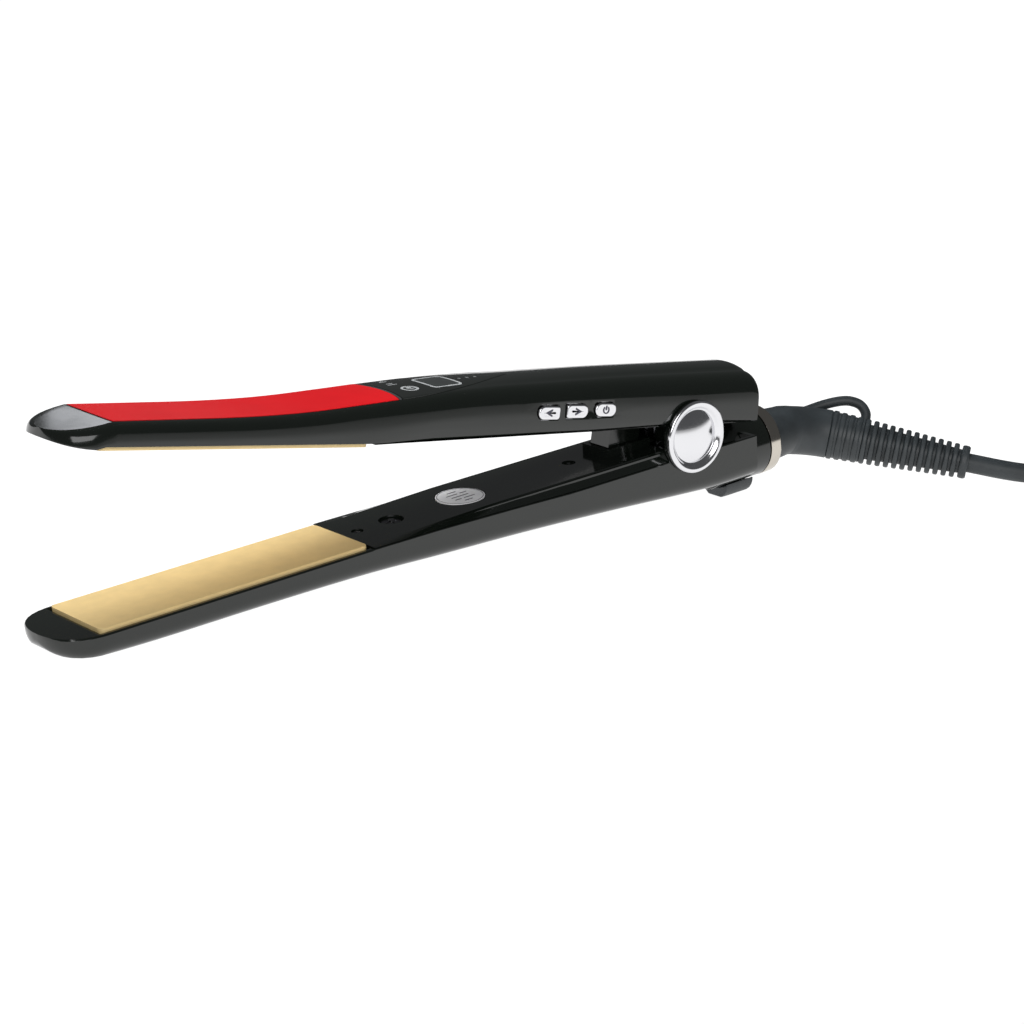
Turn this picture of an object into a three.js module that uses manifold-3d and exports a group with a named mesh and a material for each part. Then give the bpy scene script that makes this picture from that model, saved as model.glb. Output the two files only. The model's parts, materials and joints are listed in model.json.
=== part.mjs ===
// Hair straightener (flat iron) with a swivel power cord, in millimetres, +Z up.
//
// Row frame: the iron lies on z = 0 on the flat under its lower tip and on its rear foot. +X runs from the
// tips to the cord, -Y is the side with the buttons. The origin is the bottom centre of the iron's own box,
// without the cord. Both arms are drawn in arm frames whose origin is the hinge axis: x is 0 at the hinge
// and negative towards the tip, and the plates meet at z = MEET_Z when the arms are closed.
import * as THREE from 'three';
import { mergeVertices } from 'three/addons/utils/BufferGeometryUtils.js';
import Module from 'manifold-3d';

const wasm = await Module();
wasm.setup();

// ---------------------------------------------------------------- driving dimensions
const DEG = Math.PI / 180;
const GAP = 0.3; // between pieces that touch
const PITCH = 4.433 * DEG; // the lower arm's plate slopes down to its tip
const OPENING = 13.26 * DEG; // between the arms at rest
const PIVOT = new THREE.Vector3(92, 0, 27.3); // the hinge axis in the row frame

const HALF_WIDTH = 15.8; // of both arms
const LOWER_NOSE_X = -229; // ends of the tips
const UPPER_NOSE_X = -227;
const FACET_X = -211.5; // where the upper tip's sloped facet starts
const NOSE_LENGTH = 15;
const REAR_X = 27; // rear end of both casings
const WALL = 1.5;
const REAR_ROUND = 4; // length and depth of the upper casing's rounded rear end
const REAR_DROP = 1.5;

const MEET_Z = -2.87;
const PLATE_TIP_X = -216.3;
const PLATE_REAR_X = -125.4;
const PLATE_HALF_WIDTH = 14;
const PLATE_THICKNESS = 2.1;
const PLATE_BEVEL = 0.5;
const WINDOW_TIP_X = PLATE_TIP_X - 0.6; // the opening that the plate stands in
const WINDOW_REAR_X = PLATE_REAR_X + 0.8;

const EAR_RADIUS = 10.4; // of the lower casing's hinge ears
const KNUCKLE_RADIUS = 6.5; // of the upper cover's hinge barrels
const PIN_RADIUS = 2.4;
const CAP_RADIUS = 11.6;

const SWIVEL_Z = -14.2; // the swivel axis, in the lower arm's frame
const COLLAR_RADIUS = 11.3;
const COLLAR_FRONT_X = 17;
const RING_X = [37.6, 42.2];

const BUTTON_X = [-60.6, -49.5, -38.2];
const BUTTON_SIZE = [8.3, 4.2];
const BUTTON_PROUD = 0.6;

const CORD_DIAMETER = 6.3;
const RELIEF_START = new THREE.Vector3(134.8, 0, 16.4); // on the swivel axis, just inside the ring
const RELIEF_BEND = new THREE.Vector3(157, -1, 15.7);
const RELIEF_END = new THREE.Vector3(191, -41.4, 7.1);
const RIBS = 17;
const RIB_PITCH = 2.72;

const HANK_LANES = 3; // side by side, in each of two layers
const HANK_LIFT = 1.1; // the tie's thickness and its gaps
const HANK_NEAR_X = 306.75; // centre of the near fold
const HANK_STRAIGHT = 58.2; // between the centres of the two folds
const HANK_Y = -31.5;
const HANK_HOLE = 31.7;
const PLUG_X = 332; // the plug lies on top of the hank
const PLUG_Z = 19.5;

// ---------------------------------------------------------------- materials
const finish = (color, roughness, metalness = 0) =>
  new THREE.MeshStandardMaterial({ color, roughness, metalness });
const glossBlack = () => finish(0x0d0e0e, 0.16);
const satinBlack = () => finish(0x1a1b1c, 0.4);
const rubber = () => finish(0x26282a, 0.7);
const chrome = () => finish(0xd9dadc, 0.08, 1);
const steel = () => finish(0x9a9ca0, 0.35, 1);
const ceramic = () => finish(0xd9b980, 0.45, 0.1);
const board = () => finish(0x1f5a36, 0.6);

// ---------------------------------------------------------------- helpers
const iron = new THREE.Group();
const lowerArm = new THREE.Group();
const upperArm = new THREE.Group();
lowerArm.position.copy(PIVOT);
upperArm.position.copy(PIVOT);
lowerArm.rotation.y = -PITCH;
upperArm.rotation.y = OPENING - PITCH;
iron.add(lowerArm, upperArm);

/** Straight interpolation in a short list of [x, value] points. */
function along(points, x) {
  if (x <= points[0][0]) return points[0][1];
  for (let i = 1; i < points.length; i += 1) {
    const [x0, v0] = points[i - 1];
    const [x1, v1] = points[i];
    if (x <= x1) return v0 + ((v1 - v0) * (x - x0)) / (x1 - x0);
  }
  return points.at(-1)[1];
}

/** The same points joined by a smooth curve. */
function smooth(points) {
  const curve = new THREE.SplineCurve(points.map(([x, v]) => new THREE.Vector2(x, v)));
  return curve.getPoints(points.length * 6).map((p) => [p.x, p.y]);
}

function solid(geometry) {
  const plain = geometry.index ? geometry.clone() : geometry;
  plain.deleteAttribute('normal');
  plain.deleteAttribute('uv');
  const merged = mergeVertices(plain, 1e-4);
  const mesh = new wasm.Mesh({
    numProp: 3,
    vertProperties: new Float32Array(merged.attributes.position.array),
    triVerts: new Uint32Array(merged.index.array),
  });
  return new wasm.Manifold(mesh);
}

function geometryOf(manifold) {
  const mesh = manifold.getMesh();
  const geometry = new THREE.BufferGeometry();
  geometry.setAttribute('position', new THREE.BufferAttribute(mesh.vertProperties, mesh.numProp));
  geometry.setIndex(new THREE.BufferAttribute(mesh.triVerts, 1));
  const flat = geometry.toNonIndexed();
  flat.computeVertexNormals();
  return flat;
}

const cut = (body, ...tools) => tools.reduce((left, tool) => left.subtract(tool), body);
const join = (body, ...more) => more.reduce((sum, piece) => sum.add(piece), body);

function add(parent, name, shape, material) {
  const mesh = new THREE.Mesh(shape.isBufferGeometry ? shape : geometryOf(shape), material);
  mesh.name = name;
  parent.add(mesh);
  return mesh;
}

/** A closed body through rings of equal length, each ring [[y, z], ...] at its x. */
function loft(stations, ringAt) {
  const rings = stations.map((x) => ringAt(x).map(([y, z]) => [x, y, z]));
  const n = rings[0].length;
  const last = (rings.length - 1) * n;
  const middle = (ring) => [0, 1, 2].map((k) => ring.reduce((sum, p) => sum + p[k], 0) / n);
  const points = [...rings.flat(), middle(rings[0]), middle(rings.at(-1))];
  const index = [];
  for (let j = 0; j < n; j += 1) {
    const next = (j + 1) % n;
    for (let i = 0; i + 1 < rings.length; i += 1) {
      const a = i * n + j;
      const b = i * n + next;
      index.push(a, b, a + n, b, b + n, a + n);
    }
    index.push(points.length - 2, next, j, points.length - 1, last + j, last + next);
  }
  const geometry = new THREE.BufferGeometry();
  geometry.setAttribute('position', new THREE.Float32BufferAttribute(points.flat(), 3));
  geometry.setIndex(index);
  return solid(geometry);
}

/** A block between two corners. */
function block([x0, y0, z0], [x1, y1, z1]) {
  const geometry = new THREE.BoxGeometry(x1 - x0, y1 - y0, z1 - z0);
  geometry.translate((x0 + x1) / 2, (y0 + y1) / 2, (z0 + z1) / 2);
  return solid(geometry);
}

/** A round bar from a to b along X or Y, at the other two coordinates of centre. */
function bar(axis, from, to, radius, centre = [0, 0], sides = 24) {
  const geometry = new THREE.CylinderGeometry(radius, radius, to - from, sides);
  if (axis === 'x') geometry.rotateZ(-Math.PI / 2);
  const middle = (from + to) / 2;
  if (axis === 'x') geometry.translate(middle, centre[0], centre[1]);
  else if (axis === 'y') geometry.translate(centre[0], middle, centre[1]);
  else geometry.rotateX(Math.PI / 2).translate(centre[0], centre[1], middle);
  return solid(geometry);
}

/** A turned piece: profile [[radius, height], ...] closed on itself, its axis along X, Y or Z. */
function turned(profile, axis, sides = 24) {
  const closed = [...profile, profile[0]].map(([r, h]) => new THREE.Vector2(r, h));
  const geometry = new THREE.LatheGeometry(closed, sides);
  if (axis === 'x') geometry.rotateZ(-Math.PI / 2);
  if (axis === 'z') geometry.rotateX(Math.PI / 2);
  return solid(geometry);
}

/** A straight prism: a shape in XY raised from z0 to z1. */
function prism(shape, z0, z1, curveSegments = 8) {
  const geometry = new THREE.ExtrudeGeometry(shape, {
    depth: z1 - z0, bevelEnabled: false, curveSegments,
  });
  return solid(geometry.translate(0, 0, z0));
}

function roundedRectangle(cx, cy, width, height, radius) {
  const shape = new THREE.Shape();
  const x = cx - width / 2;
  const y = cy - height / 2;
  shape.moveTo(x + radius, y);
  shape.lineTo(x + width - radius, y);
  shape.absarc(x + width - radius, y + radius, radius, -Math.PI / 2, 0);
  shape.lineTo(x + width, y + height - radius);
  shape.absarc(x + width - radius, y + height - radius, radius, 0, Math.PI / 2);
  shape.lineTo(x + radius, y + height);
  shape.absarc(x + radius, y + height - radius, radius, Math.PI / 2, Math.PI);
  shape.lineTo(x, y + radius);
  shape.absarc(x + radius, y + radius, radius, Math.PI, 1.5 * Math.PI);
  return shape;
}

/** A round section of n sides for an extruded tube. */
function circle(radius, sides) {
  const points = Array.from({ length: sides }, (_, i) => {
    const a = (2 * Math.PI * i) / sides;
    return new THREE.Vector2(radius * Math.cos(a), radius * Math.sin(a));
  });
  return new THREE.Shape(points);
}

function tube(points, radius, sides, steps) {
  const path = new THREE.CatmullRomCurve3(points.map((p) => new THREE.Vector3(...p)));
  return new THREE.ExtrudeGeometry(circle(radius, sides), {
    steps, bevelEnabled: false, extrudePath: path,
  });
}

// ---------------------------------------------------------------- arm outlines
/** Half the width of an arm at x: straight sides and a rounded nose. */
function halfWidth(x, noseEnd) {
  return HALF_WIDTH * (1 - noseFraction(x, noseEnd) ** 2.4) ** (1 / 2.4);
}

/** Stations of a nose from its end to its root, closer together near the end. */
const noseStations = (noseEnd) => [0.985, 0.92, 0.82, 0.68, 0.5, 0.25].map(
  (t) => noseEnd + NOSE_LENGTH * (1 - Math.sin((t * Math.PI) / 2)));

const LOWER_BOTTOM = smooth([[-214, -11.3], [-196, -11.7], [-160, -11.8], [-127, -12.3], [-98, -13.7],
  [-67, -15.1], [-35, -17.1], [-2, -19.6], [12, -20.4], [REAR_X, -20.2]]);
const LOWER_RIM = [[-125, -4.0], [-100, -4.3], [-70, -5.2], [-50, -6.0], [REAR_X, -6.4]];
const LOWER_FACE = [[-125, -3.6], [-85, -2.6], [-40, -2.7], [0, -2.9]];
const UPPER_TOP = smooth([[-211.5, 5.1], [-190, 5.5], [-172, 5.9], [-157, 6.6], [-144, 7.6], [-130, 9.2],
  [-116, 11.1], [-102, 12.9], [-88, 14.6], [-72, 16.1], [-56, 17.2], [-31, 18.8], [0, 20.3], [REAR_X, 21.5]]);
const UPPER_RIM = [[-125, -1.3], [-100, -0.2], [-78, 0.6], [-55, 1.5], [-39, 2.1], [-15, 3.6], [12, 5.0],
  [REAR_X, 4.9]];
/** Height of the bevelled band along the foot of the upper casing's walls, and its inward slope. */
const UPPER_BAND = [[-130, 0.3], [-122, 0.8], [-104, 2.8], [-60, 2.4], [-20, 1.4], [10, 0.6], [REAR_X, 0.4]];
const BAND_SLOPE = 0.3;
const UPPER_FACE = [[-125, -1.6], [-100, -0.6], [-78, 0.3], [-55, 0.9], [-39, 1.4], [-15, 2.3], [12, 3.2],
  [REAR_X, 3.8]];

/** How far x lies into a nose, from 0 at the nose's root to 1 at its end. */
const noseFraction = (x, noseEnd) => Math.min(1, Math.max(0, (noseEnd + NOSE_LENGTH - x) / NOSE_LENGTH));

/** Corner points of a quarter round from angle a to b. */
function quarter(cy, cz, radius, a, b, steps = 3) {
  return Array.from({ length: steps + 1 }, (_, i) => {
    const t = a + ((b - a) * i) / steps;
    return [cy + radius * Math.cos(t), cz + radius * Math.sin(t)];
  });
}

/** The lower casing's outer section: chamfered rim, straight walls, rounded bottom edges. */
function lowerSection(x) {
  const u = noseFraction(x, LOWER_NOSE_X);
  const b = halfWidth(x, LOWER_NOSE_X);
  const top = x < WINDOW_REAR_X ? -3.95 : along(LOWER_RIM, x);
  const keel = along(LOWER_BOTTOM, x);
  const bottom = top - 1.6 - (top - 1.6 - keel) * (1 - u ** 3) ** (1 / 2.2);
  const chamfer = Math.min(x < WINDOW_REAR_X ? 0.5 : 0.3, b * 0.3);
  const radius = Math.min(4.5, b * 0.6, (top - chamfer - bottom) * 0.85);
  return [
    [b - chamfer, top], [-b + chamfer, top], [-b, top - chamfer],
    ...quarter(-b + radius, bottom + radius, radius, Math.PI, 1.5 * Math.PI),
    ...quarter(b - radius, bottom + radius, radius, 1.5 * Math.PI, 2 * Math.PI),
    [b, top - chamfer],
  ];
}

/** The lower casing's hollow, open at the top. */
function lowerHollow(x) {
  const b = HALF_WIDTH - WALL;
  const bottom = along(LOWER_BOTTOM, x) + WALL;
  const radius = 3;
  return [
    [b, 2], [-b, 2],
    ...quarter(-b + radius, bottom + radius, radius, Math.PI, 1.5 * Math.PI, 3),
    ...quarter(b - radius, bottom + radius, radius, 1.5 * Math.PI, 2 * Math.PI, 3),
  ];
}

/** How far the upper casing's top has come down towards its rounded rear end at x. */
function rearDrop(x) {
  const t = Math.min(1, Math.max(0, 1 - (REAR_X - x) / REAR_ROUND));
  return REAR_DROP * (1 - Math.sqrt(1 - t ** 2));
}

/** The upper casing's outer section, its top moved by lift. */
function upperSection(x, lift = 0) {
  const u = noseFraction(x, UPPER_NOSE_X);
  const b = halfWidth(x, UPPER_NOSE_X);
  const rim = x < WINDOW_TIP_X ? -2.2 + 0.9 * u ** 4 : along(UPPER_RIM, x);
  const facet = Math.min(1, (FACET_X - x) / (FACET_X - UPPER_NOSE_X));
  const top = lift + (x < FACET_X ? 5.1 - 3.9 * facet : along(UPPER_TOP, x)) - rearDrop(x);
  const band = along(UPPER_BAND, x) * Math.min(1, b / HALF_WIDTH);
  const crown = along([[-130, 0], [-90, 0.5], [-60, 1.1], [REAR_X, 1.5]], x);
  const room = top - crown - rim;
  const radius = Math.min(along([[-200, 3.4], [-130, 4.2], [-70, 6.2], [0, 7.3]], x), b * 0.6, room * 0.8);
  const edge = top - crown;
  const flat = [0.66, 0.33, 0, -0.33, -0.66].map((t) => {
    const y = t * (b - radius);
    return [y, top - crown * t ** 2];
  });
  return [
    [-b, rim + band], [-b + BAND_SLOPE * band, rim], [b - BAND_SLOPE * band, rim], [b, rim + band],
    ...quarter(b - radius, edge - radius, radius, 0, Math.PI / 2),
    ...flat,
    ...quarter(-b + radius, edge - radius, radius, Math.PI / 2, Math.PI),
  ];
}

/** The upper casing's hollow, open below. */
function upperHollow(x) {
  const b = HALF_WIDTH - WALL;
  const top = along(UPPER_TOP, x) - along([[-120, 2.1], [-60, 3.1], [REAR_X, 3.4]], x)
    - rearDrop(x + WALL + GAP);
  const radius = along([[-200, 1.5], [-120, 3], [0, 6]], x);
  return [
    [-b, -6], [b, -6],
    ...quarter(b - radius, top - radius, radius, 0, Math.PI / 2, 3),
    ...quarter(-b + radius, top - radius, radius, Math.PI / 2, Math.PI, 3),
  ];
}

const REAR_STATIONS = [0.5, 0.8, 0.95, 1].map((t) => REAR_X - REAR_ROUND * (1 - t));
const range = (from, to, steps) =>
  Array.from({ length: steps + 1 }, (_, i) => from + ((to - from) * i) / steps);

/** A tool that takes away everything below the resting surface, in the lower arm's frame. */
function belowFloor() {
  const geometry = new THREE.BoxGeometry(600, 100, 40);
  geometry.translate(0, 0, -20 - PIVOT.z);
  return solid(geometry.rotateY(PITCH));
}

// ---------------------------------------------------------------- lower arm
const EAR_Y = [HALF_WIDTH - 1.9, HALF_WIDTH];
const SCREW_SEAT = -5.2;
const SCREWS = [{ x: -107, recess: 3.9, head: 3.1 }, { x: -119.5, recess: 1.9, head: 1.5 },
  { x: -38, recess: 2.2, head: 1.8 }];

function lowerCasing() {
  const outside = loft([...noseStations(LOWER_NOSE_X), ...range(-214, -125.5, 5), WINDOW_REAR_X, -124.3,
    ...range(-110, REAR_X, 8)], lowerSection);
  const hollow = loft([WINDOW_TIP_X, ...range(-186, 12, 8), REAR_X - WALL], lowerHollow);
  let casing = cut(outside, hollow);
  for (const side of [-1, 1]) {
    const [inner, outer] = EAR_Y;
    const from = side < 0 ? -outer : inner;
    const ear = join(bar('y', from, from + outer - inner, EAR_RADIUS, [0, 0], 28),
      block([-EAR_RADIUS, from, -12], [EAR_RADIUS, from + outer - inner, 0]));
    casing = join(casing, ear);
  }
  return cut(casing, bar('y', -20, 20, PIN_RADIUS + 0.08),
    bar('x', COLLAR_FRONT_X - GAP, REAR_X + 1, COLLAR_RADIUS + GAP, [0, SWIVEL_Z], 28),
    belowFloor());
}

function lowerCover() {
  const rear = 16.4;
  const face = (x) => {
    const low = along(LOWER_RIM, x) + GAP;
    const high = along(LOWER_FACE, x);
    return [[HALF_WIDTH, low], [HALF_WIDTH - 2.8, high], [2.8 - HALF_WIDTH, high], [-HALF_WIDTH, low]];
  };
  const tongue = (x) => {
    const b = HALF_WIDTH - WALL - GAP;
    const high = along(LOWER_FACE, x) - 0.4;
    return [[b, high], [-b, high], [-b, high - 3.2], [b, high - 3.2]];
  };
  const stations = [WINDOW_REAR_X + 0.01, ...range(-115, -13, 6)];
  let cover = join(loft([...stations, -9.5], face), loft([...stations, -9.5], tongue),
    block([-27.3, -5.9, -9.4], [-9.5, 5.9, -0.2]),
    block([-12, -(HALF_WIDTH - WALL - GAP), -8.6], [rear, HALF_WIDTH - WALL - GAP, -7.2]));
  for (const screw of SCREWS) {
    cover = cut(cover, bar('z', SCREW_SEAT, 0, screw.recess, [screw.x, 0], 20),
      bar('z', -9, -4, screw.head * 0.5 + GAP, [screw.x, 0], 12));
  }
  return cut(cover, block([-25.9, -4.7, -8.2], [-11.2, 4.7, 3]),
    bar('z', LABEL.z - LABEL.depth - GAP, 0, LABEL.radius + GAP, [LABEL.x, 0], 32),
    ...[-1, 1].map((s) => block([-EAR_RADIUS - GAP, s < 0 ? -17 : EAR_Y[0] - GAP, -13],
      [EAR_RADIUS + GAP, s < 0 ? GAP - EAR_Y[0] : 17, 3])));
}

const LABEL = { x: -80.9, z: -2.6, radius: 7.6, depth: 0.5 };

/** A heating plate with bevelled face edges, its face at z = 0 looking up. */
function heatingPlate() {
  const shape = new THREE.Shape();
  const w = PLATE_HALF_WIDTH;
  shape.moveTo(-w + PLATE_BEVEL, 0);
  shape.lineTo(-w, -PLATE_BEVEL);
  shape.lineTo(-w, -PLATE_THICKNESS);
  shape.lineTo(w, -PLATE_THICKNESS);
  shape.lineTo(w, -PLATE_BEVEL);
  shape.lineTo(w - PLATE_BEVEL, 0);
  const length = PLATE_REAR_X - PLATE_TIP_X;
  const geometry = new THREE.ExtrudeGeometry(shape, { depth: length, bevelEnabled: false });
  geometry.rotateX(Math.PI / 2).rotateZ(Math.PI / 2).translate(PLATE_TIP_X, 0, 0);
  const corner = 2.2;
  const outline = roundedRectangle((PLATE_TIP_X + PLATE_REAR_X) / 2, 0, length, 2 * w, corner);
  return solid(geometry).intersect(prism(outline, -10, 10, 4));
}

/** The plate, heater and cushions of one arm; side is 1 in the lower arm and -1 in the upper one. */
function heating(arm, prefix, side) {
  const faceZ = MEET_Z - (side * GAP) / 2;
  const at = (z) => faceZ - side * z;
  const plate = geometryOf(heatingPlate());
  if (side < 0) plate.rotateX(Math.PI);
  plate.translate(0, 0, faceZ);
  add(arm, `${prefix}_plate`, plate, ceramic());
  const slab = (x0, x1, y, from, to) => {
    const [low, high] = [at(from), at(to)].sort((a, b) => a - b);
    return block([x0, -y, low], [x1, y, high]);
  };
  const back = PLATE_THICKNESS + GAP;
  add(arm, `${prefix}_heater`, slab(-190, -152, 7, back, back + 1.3), finish(0xe8e4da, 0.6));
  const cushion = side > 0 ? 3.3 : 2.3;
  add(arm, `${prefix}_cushion_front`, slab(-206, -196, 8, back, back + cushion), finish(0xb5452f, 0.8));
  add(arm, `${prefix}_cushion_rear`, slab(-146, -136, 8, back, back + cushion), finish(0xb5452f, 0.8));
  const tray = back + cushion + GAP;
  add(arm, `${prefix}_plate_carrier`, slab(-208, -132, 10, tray, tray + 0.5), steel());
}

add(lowerArm, 'lower_casing', lowerCasing(), glossBlack());
add(lowerArm, 'lower_inner_cover', lowerCover(), glossBlack());
heating(lowerArm, 'lower', 1);

add(lowerArm, 'rating_label',
  bar('z', LABEL.z - LABEL.depth, LABEL.z + 0.05, LABEL.radius, [LABEL.x, 0], 32), finish(0xd8d8d4, 0.4));

SCREWS.forEach((screw, i) => {
  const under = SCREW_SEAT + GAP;
  const shank = bar('z', -9.5, under + 0.1, screw.head * 0.5, [screw.x, 0], 12);
  const head = bar('z', under, under + 1, screw.head, [screw.x, 0], 16);
  const size = screw.head * 0.6;
  const slot = (w, h) => block([screw.x - w, -h, under + 0.5], [screw.x + w, h, 0]);
  add(lowerArm, `cover_screw_${i + 1}`, cut(join(shank, head), slot(size, 0.3), slot(0.3, size)), steel());
});

// ---------------------------------------------------------------- swivel socket, ring and foot
add(lowerArm, 'swivel_collar', turned([[9.1, 0], [COLLAR_RADIUS - 0.5, 0], [COLLAR_RADIUS, 0.5],
  [COLLAR_RADIUS, 20.3], [9.3, 20.3], [9.3, 15.4], [6.5, 15.4], [6.5, 11.6], [9.1, 11.6]], 'x', 28)
  .translate([COLLAR_FRONT_X, 0, SWIVEL_Z]), glossBlack());
add(lowerArm, 'swivel_end_plate', turned([[2.2, 0], [8.7, 0], [8.7, 2], [2.2, 2]], 'x')
  .translate([COLLAR_FRONT_X + 0.6, 0, SWIVEL_Z]), satinBlack());
add(lowerArm, 'chrome_ring', turned([[9.3, 0], [11, 0], [11.4, 0.4], [11.4, 4.2], [11, 4.6], [9.3, 4.6]], 'x', 28)
  .translate([RING_X[0], 0, SWIVEL_Z]), chrome());
add(lowerArm, 'rear_foot', cut(bar('x', 22, 34, 6, [0, -23.9], 24),
  bar('x', 10, 40, COLLAR_RADIUS + GAP, [0, SWIVEL_Z], 28), belowFloor()), rubber());

// ---------------------------------------------------------------- hinge
add(lowerArm, 'hinge_pin', bar('y', -15.5, 15.5, PIN_RADIUS, [0, 0], 24), steel());

function hingeCap(side) {
  const profile = [[0, 0], [CAP_RADIUS - 0.4, 0], [CAP_RADIUS, 0.4], [CAP_RADIUS, 1.3], [11.1, 1.75],
    [9.9, 1.75], [9.1, 1.0], [8.4, 0.75], [6.2, 1.25], [3.4, 1.6], [0, 1.75]];
  const geometry = new THREE.LatheGeometry([...profile].map(([r, h]) => new THREE.Vector2(r, h)), 28);
  if (side < 0) geometry.rotateX(Math.PI);
  return solid(geometry).translate([0, side * (HALF_WIDTH + GAP), 0]);
}
add(lowerArm, 'hinge_cap_near', hingeCap(-1), chrome());
add(lowerArm, 'hinge_cap_far', hingeCap(1), chrome());

/** The opening spring: five turns round the pin, with a leg on each arm. */
function openingSpring() {
  const radius = 4.5;
  const turns = 5;
  const pitch = 1.45;
  const y0 = (-turns * pitch) / 2;
  const points = [[-8.6, y0, -radius - 0.6], [-4, y0, -radius - 0.15]];
  const steps = turns * 12;
  for (let i = 0; i <= steps; i += 1) {
    const a = -Math.PI / 2 + (2 * Math.PI * i) / 12;
    points.push([radius * Math.cos(a), y0 + (pitch * i) / 12, radius * Math.sin(a)]);
  }
  points.push([4, y0 + turns * pitch, -radius - 0.15], [8.6, y0 + turns * pitch, -radius - 0.6]);
  return tube(points, 0.5, 5, 72);
}
add(lowerArm, 'opening_spring', openingSpring(), steel());

// ---------------------------------------------------------------- leads and fuse
/** A straight insulated lead between two points of an arm. */
function lead(from, to, radius) {
  return new THREE.ExtrudeGeometry(circle(radius, 8), {
    steps: 1, bevelEnabled: false, extrudePath: new THREE.LineCurve3(new THREE.Vector3(...from),
      new THREE.Vector3(...to)),
  });
}
for (const [i, y] of [[1, -4], [2, 4]]) {
  add(lowerArm, `lower_lead_${i}`, lead([-122, y, -8.6], [15, y, -13.6], 1.1), finish(0xe9e6dc, 0.7));
}
add(lowerArm, 'thermal_fuse', bar('x', -98, -86, 1.7, [9, -9.2], 12), steel());

// ---------------------------------------------------------------- upper arm
const TOP_HALF_WIDTH = 12; // of the inlay and the control panel
const INLAY_TIP_X = -211.4;
const INLAY_REAR_X = -115; // at its edges; the middle reaches further
const TRIM_WIDTH = 0.9;
const PANEL_FRONT_X = INLAY_REAR_X + TRIM_WIDTH + 2 * GAP;
const END_BULGE = 4;

/** The red inlay's outline, with a curved end towards the controls. */
function inlayOutline() {
  const w = TOP_HALF_WIDTH;
  const shape = new THREE.Shape();
  shape.moveTo(INLAY_TIP_X, -w);
  shape.lineTo(INLAY_REAR_X, -w);
  shape.quadraticCurveTo(INLAY_REAR_X + END_BULGE, 0, INLAY_REAR_X, w);
  shape.lineTo(INLAY_TIP_X, w);
  return shape;
}

/** The bright line between the inlay and the panel. */
function trimOutline() {
  const w = TOP_HALF_WIDTH;
  const front = INLAY_REAR_X + GAP;
  const rear = front + TRIM_WIDTH;
  const shape = new THREE.Shape();
  shape.moveTo(front, -w);
  shape.lineTo(rear, -w);
  shape.quadraticCurveTo(rear + END_BULGE, 0, rear, w);
  shape.lineTo(front, w);
  shape.quadraticCurveTo(front + END_BULGE, 0, front, -w);
  return shape;
}

/** The leaf shape of the control panel, from x = front, its front edge straight or curved. */
function leaf(front, grow, curved) {
  const w = TOP_HALF_WIDTH + grow;
  const shape = new THREE.Shape();
  shape.moveTo(front, -w);
  shape.lineTo(PANEL_FRONT_X, -w);
  shape.bezierCurveTo(-98, -w, -86, -9 - grow, -66 + 1.5 * grow, 0);
  shape.bezierCurveTo(-86, 9 + grow, -98, w, PANEL_FRONT_X, w);
  shape.lineTo(front, w);
  if (curved) shape.quadraticCurveTo(front + END_BULGE, 0, front, -w);
  return shape;
}

const UPPER_STATIONS = [...noseStations(UPPER_NOSE_X), ...range(-212, FACET_X, 1), ...range(-190, -150, 2),
  ...range(-136, -72, 5), ...range(-50, REAR_X - REAR_ROUND, 4), ...REAR_STATIONS];

const skin = (lift) => loft(UPPER_STATIONS, (x) => upperSection(x, lift));
const outerSkin = skin(0);

/** A sheet that lies in the casing's top: outline in plan, proud of the skin, and thickness. */
function sheet(outline, proud, thickness) {
  return cut(skin(proud), skin(proud - thickness)).intersect(prism(outline, 1, 40, 7));
}

function buttonOutline(index, grow) {
  const [w, h] = BUTTON_SIZE;
  const shape = new THREE.Shape();
  const x = BUTTON_X[index];
  const left = x - w / 2 - grow;
  const right = x + w / 2 + grow;
  const half = h / 2 + grow;
  const soft = [half, 0.9, half][index];
  const softRight = [0.9, half, half][index];
  const z = 7.6 + index * 0.45;
  shape.moveTo(left + soft, z - half);
  shape.lineTo(right - softRight, z - half);
  shape.absarc(right - softRight, z - half + softRight, softRight, -Math.PI / 2, 0);
  shape.absarc(right - softRight, z + half - softRight, softRight, 0, Math.PI / 2);
  shape.lineTo(left + soft, z + half);
  shape.absarc(left + soft, z + half - soft, soft, Math.PI / 2, Math.PI);
  shape.absarc(left + soft, z - half + soft, soft, Math.PI, 1.5 * Math.PI);
  return shape;
}

/** A prism along Y from y0 to y1 of an outline given in X and Z. */
function sidePrism(outline, y0, y1) {
  const geometry = new THREE.ExtrudeGeometry(outline,
    { depth: y1 - y0, bevelEnabled: false, curveSegments: 4 });
  return solid(geometry.rotateX(Math.PI / 2).translate(0, y1, 0));
}

const WINDOW = { x: -92.3, y: 0, width: 11, height: 13, radius: 2 };
const windowOutline = (grow) => roundedRectangle(WINDOW.x, WINDOW.y, WINDOW.width + 2 * grow,
  WINDOW.height + 2 * grow, WINDOW.radius + grow);
const LEDS = [-83.9, -80.9, -77.9];
const INLAY_THICKNESS = 0.9;

function upperCasing() {
  const hollow = loft([WINDOW_TIP_X, ...range(-190, -150, 2), ...range(-136, -72, 5),
    ...range(-50, REAR_X - REAR_ROUND, 4), 24, REAR_X - WALL], upperHollow);
  const pocket = (outline) => sheet(outline, 1.5, 1.5 + INLAY_THICKNESS + GAP);
  return cut(outerSkin, hollow,
    pocket(leaf(INLAY_TIP_X - GAP, GAP, false)),
    prism(windowOutline(-0.6), 3, 30, 4),
    ...LEDS.map((x) => bar('z', 3, 30, 0.8, [x, 0], 12)),
    ...BUTTON_X.map((_, i) => sidePrism(buttonOutline(i, 0.35), -20, -10)),
    bar('y', -20, 20, EAR_RADIUS + 0.5, [0, 0], 28));
}

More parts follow.
